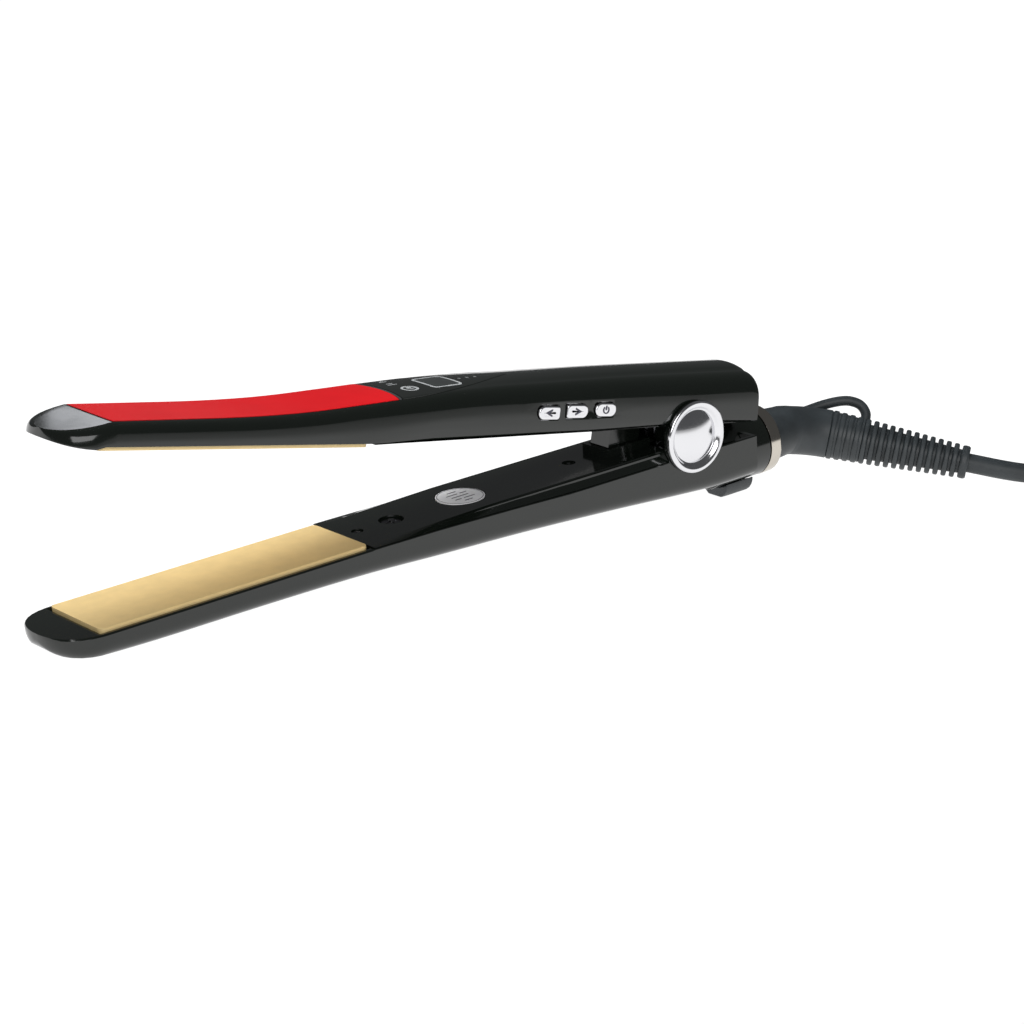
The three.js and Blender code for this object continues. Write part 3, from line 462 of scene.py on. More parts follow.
def circle(cx, cy, radius, steps=32):
    return arc(cx, cy, radius, 0, 2 * pi * (steps - 1) / steps, steps - 1)


def rounded(cx, cy, width, height, radius, steps=6):
    """A rectangle with round corners."""
    w, h, q = width / 2 - radius, height / 2 - radius, pi / 2
    corners = ((w, -h, -q), (w, h, 0), (-w, h, q), (-w, -h, 2 * q))
    return [point for x, y, start in corners
            for point in arc(cx + x, cy + y, radius, start, start + q, steps)]


def divided(outline, steps=10):
    """The outline with points added along its straight runs, so that it can follow a curved top."""
    points = []
    for start, end in zip(outline, outline[1:] + outline[:1]):
        count = steps if (Vector(end) - Vector(start)).length > 1 else 1
        for k in range(count):
            points.append(tuple(a + (b - a) * k / count for a, b in zip(start, end)))
    return points


def curve_to(start, control, end, steps=12):
    """Points of a quadratic curve after its start."""
    points = []
    for k in range(1, steps + 1):
        t = k / steps
        points.append(tuple((1 - t) ** 2 * a + 2 * t * (1 - t) * b + t * t * c
                            for a, b, c in zip(start, control, end)))
    return points


def cubic_to(start, c1, c2, end, steps=20):
    """Points of a cubic curve after its start."""
    points = []
    for k in range(1, steps + 1):
        t = k / steps
        u = 1 - t
        points.append(tuple(u ** 3 * a + 3 * t * u ** 2 * b + 3 * t * t * u * c + t ** 3 * d
                            for a, b, c, d in zip(start, c1, c2, end)))
    return points


def apply_modifiers(obj):
    """Writes the modifiers' result into the piece's own mesh."""
    bpy.context.view_layer.update()
    evaluated = obj.evaluated_get(bpy.context.evaluated_depsgraph_get())
    mesh = bpy.data.meshes.new_from_object(evaluated)
    old = obj.data
    obj.modifiers.clear()
    obj.data = mesh
    bpy.data.meshes.remove(old)


def boolean(obj, cutters, operation="DIFFERENCE"):
    """Cuts, joins or trims obj with each cutter, and throws the cutters away."""
    for cutter in cutters:
        step = obj.modifiers.new("cut", "BOOLEAN")
        step.operation = operation
        step.solver = "MANIFOLD"
        step.object = cutter
        apply_modifiers(obj)
        bpy.data.objects.remove(cutter)
    return obj


def soften(obj, width, angle=28, segments=2):
    """Rounds sharp edges a little and shades the rest smoothly."""
    if width:
        edge = obj.modifiers.new("edges", "BEVEL")
        edge.width = width
        edge.segments = segments
        edge.limit_method = "ANGLE"
        edge.angle_limit = radians(angle)
        edge.use_clamp_overlap = True
        apply_modifiers(obj)
    obj.data.shade_smooth()
    obj.data.set_sharp_from_angle(angle=radians(angle + 8))
    normals = obj.modifiers.new("normals", "WEIGHTED_NORMAL")
    normals.keep_sharp = True
    apply_modifiers(obj)


def dress(obj, slot, body, *nodes, finish=None):
    """Gives a finished piece its material and its body, and hides the CAD nodes that it stands for."""
    obj.data.materials.clear()
    obj.data.materials.append(finish_of(finish or slot))
    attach(obj, body)
    if nodes:
        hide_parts(*nodes)
    return obj


NODE_SLOT = {entry["node"]: entry["material_slot"] for entry in frame["record"]["subparts"]}
BODIES = frame["record"]["behaviour"]["bodies"]
NODE_BODY = {node: body for body, members in BODIES.items() for node in members}


def refined(node, width, angle=28, segments=2, name=None):
    """A copy of a CAD node with its flat faces joined and its edges rounded, which stands for it."""
    obj = link_mesh(name or f"{node}_finished", frame["nodes"][node].data.copy())
    shape = bmesh.new()
    shape.from_mesh(obj.data)
    bmesh.ops.remove_doubles(shape, verts=shape.verts, dist=4e-6)
    bmesh.ops.dissolve_limit(shape, angle_limit=radians(1.0), verts=shape.verts, edges=shape.edges)
    shape.to_mesh(obj.data)
    shape.free()
    soften(obj, width, angle, segments)
    return dress(obj, NODE_SLOT[node], NODE_BODY[node], node)


# ---------------------------------------------------------------- arm outlines, in millimetres
LOWER_NOSE, UPPER_NOSE, NOSE_LENGTH, REAR = -229, -227, 15, 27
FACET = -211.5
HALF_WIDTH = 15.8
WALL = 1.5
WINDOW_TIP, WINDOW_REAR = -216.9, -124.6
REAR_ROUND, REAR_DROP = 4, 1.5
PLATE_RIM, NOSE_LIP = -3.95, 1.6

LOWER_BOTTOM = [(-214, -11.3), (-196, -11.7), (-160, -11.8), (-127, -12.3), (-98, -13.7), (-67, -15.1),
                (-35, -17.1), (-2, -19.6), (12, -20.4), (REAR, -20.2)]
LOWER_RIM = [(-125, -4.0), (-100, -4.3), (-70, -5.2), (-50, -6.0), (REAR, -6.4)]
UPPER_TOP = [(-211.5, 5.1), (-190, 5.5), (-172, 5.9), (-157, 6.6), (-144, 7.6), (-130, 9.2), (-116, 11.1),
             (-102, 12.9), (-88, 14.6), (-72, 16.1), (-56, 17.2), (-31, 18.8), (0, 20.3), (REAR, 21.5)]
UPPER_RIM = [(-125, -1.3), (-100, -0.2), (-78, 0.6), (-55, 1.5), (-39, 2.1), (-15, 3.6), (12, 5.0),
             (REAR, 4.9)]
UPPER_BAND = [(-130, 0.3), (-122, 0.8), (-104, 2.8), (-60, 2.4), (-20, 1.4), (10, 0.6), (REAR, 0.4)]
UPPER_CROWN = [(-130, 0), (-90, 0.5), (-60, 1.1), (REAR, 1.5)]
UPPER_SHOULDER = [(-200, 3.4), (-130, 4.2), (-70, 6.2), (0, 7.3)]
BAND_SLOPE = 0.3


def along(points, x):
    """Straight interpolation in a short list of (x, value)."""
    if x <= points[0][0]:
        return points[0][1]
    for (x0, v0), (x1, v1) in zip(points, points[1:]):
        if x <= x1:
            return v0 + (v1 - v0) * (x - x0) / (x1 - x0)
    return points[-1][1]


def smooth(points, steps=10):
    """The points joined by a smooth curve through them."""
    padded = [points[0], *points, points[-1]]
    out = []
    for a, b, c, d in zip(padded, padded[1:], padded[2:], padded[3:]):
        for k in range(steps):
            t = k / steps
            out.append(tuple(0.5 * (2 * q + (r - p) * t + (2 * p - 5 * q + 4 * r - s) * t * t
                                    + (3 * q - p - 3 * r + s) * t ** 3) for p, q, r, s in zip(a, b, c, d)))
    out.append(points[-1])
    return out


LOWER_KEEL = smooth(LOWER_BOTTOM)
UPPER_CREST = smooth(UPPER_TOP)


def nose_share(x, nose):
    """How far x lies into a nose: 0 at its root and 1 at its end."""
    return min(1, max(0, (nose + NOSE_LENGTH - x) / NOSE_LENGTH))


def half_width(x, nose):
    return HALF_WIDTH * (1 - nose_share(x, nose) ** 2.4) ** (1 / 2.4)


def steps_between(low, high, count):
    return [low + (high - low) * k / count for k in range(count + 1)]


NOSE_STEPS = (0.985, 0.96, 0.92, 0.87, 0.81, 0.74, 0.66, 0.57, 0.47, 0.36, 0.24, 0.12)


def nose_stations(nose):
    return [nose + NOSE_LENGTH * (1 - sin(t * pi / 2)) for t in NOSE_STEPS]


def wall(y, low, high, lean):
    """Points up a slightly barrelled wall that leans in towards its top, on the side of y's sign."""
    side = 1 if y > 0 else -1
    return [(y - side * lean * t * t, low + (high - low) * t) for t in (0, 0.25, 0.5, 0.75)]


def lower_section(x):
    """The lower casing: a bevelled rim, straight walls and rounded bottom edges."""
    share, b = nose_share(x, LOWER_NOSE), half_width(x, LOWER_NOSE)
    beside_plate = x < WINDOW_REAR
    top = PLATE_RIM if beside_plate else along(LOWER_RIM, x)
    lip = top - NOSE_LIP
    bottom = lip - (lip - along(LOWER_KEEL, x)) * (1 - share ** 3) ** (1 / 2.2)
    chamfer = min(0.5 if beside_plate else 0.3, b * 0.3)
    r = min(4.5, b * 0.6, (top - chamfer - bottom) * 0.85)
    return ([(b - chamfer, top), (-b + chamfer, top), (-b, top - chamfer)]
            + arc(-b + r, bottom + r, r, pi, 1.5 * pi) + arc(b - r, bottom + r, r, 1.5 * pi, 2 * pi)
            + [(b, top - chamfer)])


def lower_hollow(x):
    """The room inside the lower casing."""
    b, bottom, r = HALF_WIDTH - WALL, along(LOWER_KEEL, x) + WALL, 3
    return ([(b, 2), (-b, 2)] + arc(-b + r, bottom + r, r, pi, 1.5 * pi, 4)
            + arc(b - r, bottom + r, r, 1.5 * pi, 2 * pi, 4))


def rear_drop(x):
    """How far the top rounds down at the upper casing's rear end."""
    t = min(1, max(0, 1 - (REAR - x) / REAR_ROUND))
    return REAR_DROP * (1 - sqrt(1 - t * t))


def upper_section(x, lift=0.0):
    """The upper casing: a flat top that grows crowned towards the handle, over straight walls."""
    share, b = nose_share(x, UPPER_NOSE), half_width(x, UPPER_NOSE)
    rim = -2.2 + 0.9 * share ** 4 if x < WINDOW_TIP else along(UPPER_RIM, x)
    facet = min(1, max(0, (FACET - x) / (FACET - UPPER_NOSE)))
    top = lift + (5.1 - 3.9 * facet if x < FACET else along(UPPER_CREST, x)) - rear_drop(x)
    band = along(UPPER_BAND, x) * min(1, b / HALF_WIDTH)
    crown = along(UPPER_CROWN, x)
    room = top - crown - rim
    r = min(along(UPPER_SHOULDER, x), b * 0.6, room * 0.8)
    edge = top - crown
    flat = [(t * (b - r), top - crown * t * t) for t in (0.8, 0.6, 0.4, 0.2, 0, -0.2, -0.4, -0.6, -0.8)]
    wall_height = edge - r - rim - band
    lean = min(0.7, 0.08 * max(0, wall_height))
    bow = 2 * lean / max(0.1, wall_height)
    right = wall(b, rim + band, edge - r, lean) + arc(b - lean - r, edge - r, r, bow, pi / 2, 9)
    left = [(-y, z) for y, z in reversed(right)]
    return [(-b + BAND_SLOPE * band, rim), (b - BAND_SLOPE * band, rim)] + right + flat + left


def upper_hollow(x):
    """The room inside the upper casing."""
    b = HALF_WIDTH - WALL
    depth = along([(-120, 2.1), (-60, 3.1), (REAR, 3.4)], x)
    top = along(UPPER_CREST, x) - depth - rear_drop(x + WALL + 0.3)
    r = along([(-200, 1.5), (-120, 3), (0, 6)], x)
    return ([(-b, -6), (b, -6)] + arc(b - r, top - r, r, 0, pi / 2, 5)
            + arc(-b + r, top - r, r, pi / 2, pi, 5))


REAR_STATIONS = [REAR - REAR_ROUND * (1 - t) for t in (0.25, 0.5, 0.7, 0.84, 0.93, 0.98, 1)]
UPPER_STATIONS = (nose_stations(UPPER_NOSE) + [-212.1] + steps_between(FACET, -150, 10)
                  + steps_between(-145, -70, 20) + steps_between(-63, REAR - REAR_ROUND, 9)
                  + REAR_STATIONS)


def skin(lift):
    """The upper casing's outer shape, with its top lifted."""
    return loft("skin", UPPER_STATIONS, lambda x: upper_section(x, lift), UPPER)


def sheet(name, outline, proud, thickness):
    """A sheet set in the upper casing's top."""
    obj = boolean(skin(proud), [skin(proud - thickness)])
    boolean(obj, [prism("outline", outline, 1, 40, UPPER)], "INTERSECT")
    obj.name = name
    return obj


def on_top(outline, lift):
    """A plan outline laid over the upper casing's top, a little above it."""
    laid = []
    for x, y in outline:
        crest = along(UPPER_CREST, x)
        across = sorted(point for point in upper_section(x) if point[1] > crest - 2)
        laid.append((x, y, along(across, y) + lift))
    return laid


# ---------------------------------------------------------------- cord
LEAD = [(191.4, -41.8, 7.0), (194.2, -44.9, 6.3), (197.3, -48.1, 5.5), (200.8, -51.2, 4.7),
        (204.6, -54.2, 4.0), (209.8, -57.8, 3.45), (216, -60.7, 3.2), (223, -62.5, 3.2),
        (231, -63.1, 3.2), (242, -63.1, 3.2), (254, -63.1, 3.3), (266, -63.1, 3.7),
        (277, -63.1, 4.15), (286.5, -63.1, 4.25)]
TAIL = [(314, -56.8, 18.5), (322, -56.8, 19), (331.5, -56.8, 19.5)]
HANK_LANES, HANK_LIFT, HANK_HOLE = 3, 1.1, 31.7
HANK_NEAR, HANK_STRAIGHT, HANK_Y = 306.75, 58.2, -31.5


def hank_turns(diameter):
    """The stored turns: three lanes outside to inside on the floor, then back outwards on top of them."""
    inner = (HANK_HOLE + diameter) / 2
    radii = [inner + diameter * lane for lane in range(HANK_LANES)]
    low = HANK_LIFT + diameter / 2
    turns = [(r, low) for r in reversed(radii)] + [(r, low + diameter) for r in radii]
    turns.append((radii[1], low + 2 * diameter))
    points = []
    far = HANK_NEAR + HANK_STRAIGHT
    for (r, z), (r_next, z_next) in zip(turns, turns[1:]):
        points += [(HANK_NEAR + HANK_STRAIGHT * k / 4, HANK_Y - r, z) for k in range(4)]
        points += [(far + r * sin(pi * k / 12), HANK_Y - r * cos(pi * k / 12), z) for k in range(12)]
        points += [(far - HANK_STRAIGHT * k / 4, HANK_Y + r, z) for k in range(4)]
        for k in range(12):
            t = k / 12
            ease = t * t * (3 - 2 * t)
            rk, zk = r + (r_next - r) * ease, z + (z_next - z) * ease
            points.append((HANK_NEAR - rk * sin(pi * t), HANK_Y + rk * cos(pi * t), zk))
    points.append((HANK_NEAR, HANK_Y - turns[-1][0], turns[-1][1]))
    return points


def spline_through(points, spacing):
    """Evenly close points on a smooth curve through the given ones."""
    dense = smooth(points, 8)
    kept = [dense[0]]
    for p in dense[1:]:
        if (Vector(p) - Vector(kept[-1])).length >= spacing:
            kept.append(p)
    kept.append(dense[-1])
    return kept


def sweep(name, path, radius_at, sides, distances=None):
    """A round body along a line of row millimetres, with its radius given by distance."""
    points = [Vector(p) for p in path]
    lengths = [0.0]
    for a, b in zip(points, points[1:]):
        lengths.append(lengths[-1] + (b - a).length)

    def at(d):
        d = min(max(d, 0), lengths[-1])
        for i in range(1, len(lengths)):
            if d <= lengths[i] + 1e-9:
                t = (d - lengths[i - 1]) / max(1e-9, lengths[i] - lengths[i - 1])
                return points[i - 1].lerp(points[i], t)
        return points[-1]

    distances = distances or lengths
    normal = Vector((0, 0, 1))
    rings = []
    for d in distances:
        tangent = (at(d + 0.6) - at(d - 0.6)).normalized()
        normal = (normal - tangent * normal.dot(tangent)).normalized()
        across = tangent.cross(normal)
        r = radius_at(d)
        rings.append([at(d) + normal * r * sin(2 * pi * k / sides) + across * r * cos(2 * pi * k / sides)
                      for k in range(sides)])
    return from_points(name, *rings_to_faces(rings))


SWIVEL_Z = -14.2
RELIEF_START = PIVOT / MM + Matrix.Rotation(-PITCH, 3, "Y") @ Vector((41.8, 0, SWIVEL_Z))
RELIEF_BEND = Vector((157, -1, 15.7))
RELIEF_END = Vector((191, -41.4, 7.1))
RELIEF_RUN = (RELIEF_END - RELIEF_BEND).normalized()
RIBS, RIB_PITCH = 17, 2.72
LOOP_TILT, LOOP_SIDE = radians(35), Vector((0.774, 0.633, 0))
LOOP_LINE = [(-4.5, 4.5), (-1, 6.6), (4, 9.6), (9, 12), (13, 13), (16.6, 12.3), (18.6, 9.6), (18.2, 6.2),
             (17.2, 3)]


def relief_path():
    """The strain relief's middle line: straight out of the swivel, round the elbow and along the ribs."""
    start = RELIEF_START + SWIVEL_AXIS * 11
    end = RELIEF_BEND + RELIEF_RUN * 8
    return [RELIEF_START, start, *[Vector(p) for p in curve_to(start, RELIEF_BEND, end, 16)], RELIEF_END]


def relief_profile(length):
    """Radius by distance: a smooth elbow, shallow rings, deep ribs that taper, and an end flange."""
    ribs_start = length - RIBS * RIB_PITCH
    profile = [(0, 8.9), (2, 8.9), (5, 8.6), (9, 8.25), (14, 8.0), (ribs_start - 0.5, 8.0)]
    for i in range(RIBS):
        start = ribs_start + i * RIB_PITCH
        radius = along([(0, 8.1), (4, 7.5), (5, 7.4), (RIBS - 1, 5.5)], i)
        groove = 0.5 if i < 4 else 1.7
        width = RIB_PITCH if i == RIBS - 1 else 1.85
        top = 0.55 * min(1, groove)
        profile += [(start + 0.02, radius - groove if i else radius - 0.5)]
        profile += [(start + width * share, radius - top * (2 * share - 1) ** 4)
                    for share in (0.05, 0.16, 0.3, 0.5, 0.7, 0.84, 0.95)]
        if i < RIBS - 1:
            profile += [(start + width, radius - groove), (start + RIB_PITCH - 0.05, radius - groove)]
    profile.append((length, profile[-1][1]))
    return profile


class STRAIGHTENER_OT_cord(bpy.types.Operator):
    """Power cord with its stored turns"""

    bl_idname = "straightener.cord"
    bl_label = "Power cord"

    def execute(self, context):
        diameter = sizes().cord_diameter
        inside_relief = tuple(2 * a - b for a, b in zip(LEAD[0], LEAD[1]))
        before_hank = (296, *LEAD[-1][1:])
        route = [inside_relief, *LEAD, before_hank, *hank_turns(diameter / MM), *TAIL]
        points = spline_through(route, 1.6)
        line = bpy.data.curves.new("power_cord_line", "CURVE")
        line.dimensions = "3D"
        line.bevel_depth = diameter / 2
        line.bevel_resolution = 5
        line.use_fill_caps = True
        spline = line.splines.new("POLY")
        spline.points.add(len(points) - 1)
        for point, place in zip(spline.points, points):
            point.co = (*(Vector(place) * MM), 1)
        cord = bpy.data.objects.new("power_cord_line", line)
        context.scene.collection.objects.link(cord)
        line.materials.append(finish_of("cord_rubber"))
        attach(cord, "cord_swivel")
        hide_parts("power_cord", "cord_hank", "cord_tail")
        return {"FINISHED"}


class STRAIGHTENER_OT_strain_relief(bpy.types.Operator):
    """Ribbed strain relief on the swivel, and the hanging loop moulded to it"""

    bl_idname = "straightener.strain_relief"
    bl_label = "Strain relief and loop"

    def execute(self, context):
        path = relief_path()
        length = sum((b - a).length for a, b in zip(path, path[1:]))
        profile = relief_profile(length)
        elbow = steps_between(0, length - RIBS * RIB_PITCH - 1, 18)
        distances = sorted({d for d, _ in profile} | set(elbow))
        relief = sweep("ribbed_relief", path, lambda d: along(profile, d), 40, distances)
        soften(relief, 0, 35)
        dress(relief, "cord_rubber", "cord_swivel", "strain_relief")
        up = LOOP_SIDE * sin(LOOP_TILT) + Vector((0, 0, cos(LOOP_TILT)))
        strap = [RELIEF_BEND + RELIEF_RUN * run + up * height for run, height in LOOP_LINE]
        loop = sweep("hanging_strap", smooth([tuple(p) for p in strap], 6), lambda d: 1.65, 24)
        soften(loop, 0, 40)
        dress(loop, "cord_rubber", "cord_swivel", "hanging_loop")
        return {"FINISHED"}


NECK_LENGTH, GRIP_LENGTH, GRIP_START = 13.9, 24.4, 13.3


def plug_neck(start):
    """The ribbed sleeve where the cord enters the plug."""
    profile = [(0, 0), (4.2, 0), (4.4, 0.4)]
    for k in range(6):
        rib, radius = 0.9 + 2.1 * k, 4.5 + 0.12 * k
        profile += [(3.7, rib), (3.7, rib + 0.5), (radius, rib + 0.8), (radius, rib + 1.9)]
    profile += [(5.2, NECK_LENGTH), (0, NECK_LENGTH)]
    return lathe("plug_neck", profile, start, (1, 0, 0), 40)


def plug_grip(low, high):
    """The plug's waisted body with blade slots and finger grooves, joined to its neck."""
    front, centre_y, centre_z = low.x / MM, (low.y + high.y) / 2 / MM, (low.z + high.z) / 2 / MM
    width, height = (high.y - low.y) / MM, (high.z - low.z) / MM
    neck = plug_neck((front, centre_y, centre_z))
    rings = []
    for s in (0, 0.5, 1.2, 2, 4, 8, 12, 16, 19, 21, 23.2, 23.9, GRIP_LENGTH):
        end = min(1, s / 2, (GRIP_LENGTH - s) / 1.4)
        inset = 1.4 * (1 - sqrt(1 - (1 - end) ** 2))
        waist = 0.9 * sin(pi * min(1, max(0, (s - 2) / 19))) ** 2
        outline = rounded(centre_y, centre_z, width - 2 * inset - 2 * waist, height - 2 * inset, 3.3, 6)
        rings.append([(front + GRIP_START + s, y, z) for y, z in outline])
    grip = from_points("plug_grip", *rings_to_faces(rings))
    cutters = []
    for k in (1, 2):
        blade_low, blade_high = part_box(f"plug_blade_{k}")
        y, z = (blade_low.y + blade_high.y) / 2 / MM, (blade_low.z + blade_high.z) / 2 / MM
        slot = rounded(y, z, 1.7, 6.6, 0.1, 1)
        cutters.append(prism("blade_slot", slot, blade_low.x / MM - 0.1, front + 60, ROW, "x"))
    for k in range(5):
        groove = rounded(front + 18 + 2.6 * k, centre_y, 1.1, 10, 0.5, 3)
        for face in (centre_z - height / 2, centre_z + height / 2):
            cutters.append(prism("grip_groove", groove, face - 0.35, face + 0.35, ROW))
    boolean(grip, cutters)
    return boolean(grip, [neck], "UNION")


def tie_band(low, high):
    """The flat strap round the stored turns."""
    centre = ((low.y + high.y) / 2 / MM, (low.z + high.z) / 2 / MM)
    width, height = (high.y - low.y) / MM, (high.z - low.z) / MM
    start, end = low.x / MM, high.x / MM
    band = prism("hook_and_loop_tie", rounded(*centre, width, height, 3.6, 8), start, end, ROW, "x")
    inside = rounded(*centre, width - 1.5, height - 1.5, 2.9, 8)
    return boolean(band, [prism("inside", inside, start - 1, end + 1, ROW, "x")])


class STRAIGHTENER_OT_plug(bpy.types.Operator):
    """Mains plug with a ribbed neck and two blades, and the tie round the stored cord"""

    bl_idname = "straightener.plug"
    bl_label = "Plug and tie"

    def execute(self, context):
        grip = plug_grip(*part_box("plug_body"))
        soften(grip, 0.00012, 32)
        dress(grip, "satin_black", "cord_swivel", "plug_body")
        for k in (1, 2):
            refined(f"plug_blade_{k}", 0.0003, 30, 3)
        band = tie_band(*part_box("cord_tie"))
        soften(band, 0.00018, 40)
        dress(band, "satin_black", "cord_swivel", "cord_tie")
        return {"FINISHED"}


# ---------------------------------------------------------------- lower arm
EAR_RADIUS = 10.4
LABEL_X, LABEL_Z = -80.9, -2.6
LABEL_LINES = ((0, 4.4, 3.4), (-1.5, 2.2, 4.2), (2.8, 2.2, 2.6), (0, 0, 6.4), (-2.3, -2.2, 2.4),
               (1.9, -2.2, 4.0), (0, -4.4, 3.0))
COLLAR_PROFILE = [(9.1, 0), (10.8, 0), (11.15, 0.15), (11.3, 0.5), (11.3, 19.9), (11.2, 20.2), (10.9, 20.3),
                  (9.3, 20.3), (9.3, 15.4), (6.5, 15.4), (6.5, 11.6), (9.1, 11.6)]
RING_PROFILE = [(9.3, 0), (10.9, 0), (11.25, 0.15), (11.4, 0.5), (11.4, 3.9), (11.3, 4.3), (10.9, 4.6),
                (9.7, 4.6), (9.3, 4.3)]


class STRAIGHTENER_OT_lower_casing(bpy.types.Operator):
    """Lower casing with its hinge ears and the opening for the swivel"""

    bl_idname = "straightener.lower_casing"
    bl_label = "Lower casing"

    def execute(self, context):
        stations = (nose_stations(LOWER_NOSE) + steps_between(-214, -125.5, 12) + [WINDOW_REAR, -124.3]
                    + steps_between(-118, REAR, 26))
        casing = loft("lower_shell", stations, lower_section, LOWER)
        inside = [WINDOW_TIP, *steps_between(-210, 12, 24), REAR - WALL]
        hollow = loft("hollow", inside, lower_hollow, LOWER)
        boolean(casing, [hollow])
        for side in (-1, 1):
            inner, outer = side * (HALF_WIDTH - 1.9), side * HALF_WIDTH
            ear = arc(0, 0, EAR_RADIUS, 0, pi, 40) + [(-EAR_RADIUS, -12), (EAR_RADIUS, -12)]
            boolean(casing, [prism("ear", ear, min(inner, outer), max(inner, outer), LOWER, "y")], "UNION")
        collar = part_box("swivel_collar")
        radius = (collar[1].y - collar[0].y) / 2 / MM + 0.3
        boolean(casing, [
            prism("pin_hole", circle(0, 0, 2.5, 32), -20, 20, LOWER, "y"),
            prism("swivel_opening", circle(0, SWIVEL_Z, radius, 64), 16.7, 29, LOWER, "x"),
            prism("floor", rounded(0, 0, 600, 100, 1, 1), -40, 0, ROW)])
        soften(casing, sizes().casing_edge, 30)
        dress(casing, "gloss_black", "lower_arm", "lower_casing")
        return {"FINISHED"}


class STRAIGHTENER_OT_lower_cover(bpy.types.Operator):
    """Inner cover of the lower arm, with the guide box, screws, label and foot"""

    bl_idname = "straightener.lower_cover"
    bl_label = "Lower inner cover"

    def execute(self, context):
        refined("lower_inner_cover", sizes().casing_edge, 20)
        for k in (1, 2, 3):
            refined(f"cover_screw_{k}", 0.0001, 30)
        refined("rear_foot", 0.0006, 30, 3)
        disc = [(0, -0.5), (7.6, -0.5), (7.6, -0.02), (7.5, 0.05), (0, 0.05)]
        label = lathe("rating_disc", disc, (LABEL_X, 0, LABEL_Z), (0, 0, 1), 64, LOWER)
        soften(label, 0, 30)
        dress(label, "label", "lower_arm", "rating_label")
        print_low, print_high = LABEL_Z + 0.04, LABEL_Z + 0.08
        for k, (offset, y, length) in enumerate(LABEL_LINES):
            line = rounded(LABEL_X + offset, y, length, 0.5, 0.2, 2)
            bar = prism(f"label_line_{k + 1}", line, print_low, print_high, LOWER)
            soften(bar, 0)
            dress(bar, "dark_print", "lower_arm")
        edge = [(7.0, 0), (7.2, 0), (7.2, 0.04), (7.0, 0.04)]
        rim = lathe("label_rim", edge, (LABEL_X, 0, print_low), (0, 0, 1), 64, LOWER)
        dress(rim, "dark_print", "lower_arm")
        return {"FINISHED"}


class STRAIGHTENER_OT_plates(bpy.types.Operator):
    """Heating plates with bevelled edges"""

    bl_idname = "straightener.plates"
    bl_label = "Heating plates"

    def execute(self, context):
        for arm in ("lower", "upper"):
            refined(f"{arm}_plate", 0.00035, 20, 3)
        return {"FINISHED"}


def turned_ring(node, start, profile, slot, finish):
    """A ring turned about the swivel's axis, which stands for a CAD node."""
    ring = lathe(f"{node}_turned", profile, (start, 0, SWIVEL_Z), (1, 0, 0), 96, LOWER)
    soften(ring, 0, 35)
    dress(ring, slot, "lower_arm", node, finish=finish)


class STRAIGHTENER_OT_swivel(bpy.types.Operator):
    """Swivel collar, chrome ring and the stem inside them"""

    bl_idname = "straightener.swivel"
    bl_label = "Swivel collar and ring"

    def execute(self, context):
        turned_ring("swivel_collar", 17, COLLAR_PROFILE, "gloss_black", "gloss_black")
        turned_ring("chrome_ring", 37.6, RING_PROFILE, "chrome", "warm_plating")
        refined("swivel_stem", 0.0001, 30)
        refined("swivel_end_plate", 0.0001, 30)
        return {"FINISHED"}


class STRAIGHTENER_OT_hinge(bpy.types.Operator):
    """Hinge medallions, pin and opening spring"""

    bl_idname = "straightener.hinge"
    bl_label = "Hinge"

    def execute(self, context):
        rim = [(0, 0), (11.3, 0), (11.6, 0.3), (11.6, 1.2), (11.45, 1.55), (11.1, 1.72), (10.7, 1.77),
               (10.2, 1.72), (9.75, 1.5), (9.35, 1.1), (9.05, 0.72), (8.9, 0.6), (8.7, 0.58)]
        dome = [(8.5 * (12 - k) / 12, 0.4 + 1.75 * (1 - ((12 - k) / 12) ** 2)) for k in range(13)]
        for name, side in (("near", -1), ("far", 1)):
            seat = (0, side * (HALF_WIDTH + 0.3), 0)
            cap = lathe(f"medallion_{name}", rim + dome, seat, (0, side, 0), 128, LOWER)
            soften(cap, 0, 50)
            dress(cap, "chrome", "lower_arm", f"hinge_cap_{name}")
        refined("hinge_pin", 0.0002, 30)
        refined("opening_spring", 0, 60)
        return {"FINISHED"}


# ---------------------------------------------------------------- upper arm
TOP_HALF_WIDTH, INLAY_TIP, INLAY_REAR, BULGE = 12, -211.4, -115, 4
PANEL_FRONT = INLAY_REAR + 1.5
WINDOW = (-92.3, 0, 11, 13, 2)
LEDS = (-83.9, -80.9, -77.9)
SYMBOL = (-104.6, -3.2)
PANEL_LINES = ((3.4, 3.4), (5.0, 2.2), (8.2, 2.6), (9.4, 1.6))
BUTTONS = (("button_down", -60.6, 7.6), ("button_up", -49.5, 8.05), ("button_power", -38.2, 8.5))
BUTTON_ENDS = ((True, False), (False, True), (True, True))
BUTTON_FACE = -HALF_WIDTH - 0.6


def inlay_outline():
    """The red inlay's outline: straight sides and a bulged rear end."""
    w = TOP_HALF_WIDTH
    near, bulge, far = (INLAY_REAR, -w), (INLAY_REAR + BULGE, 0), (INLAY_REAR, w)
    return [(INLAY_TIP, -w), near, *curve_to(near, bulge, far), (INLAY_TIP, w)]


def trim_outline():
    """The bright line's outline, which follows the inlay's rear end."""
    w, front, rear = TOP_HALF_WIDTH, INLAY_REAR + 0.3, INLAY_REAR + 1.2
    return [(front, -w), (rear, -w), *curve_to((rear, -w), (rear + BULGE, 0), (rear, w)), (front, w),
            *curve_to((front, w), (front + BULGE, 0), (front, -w))[:-1]]


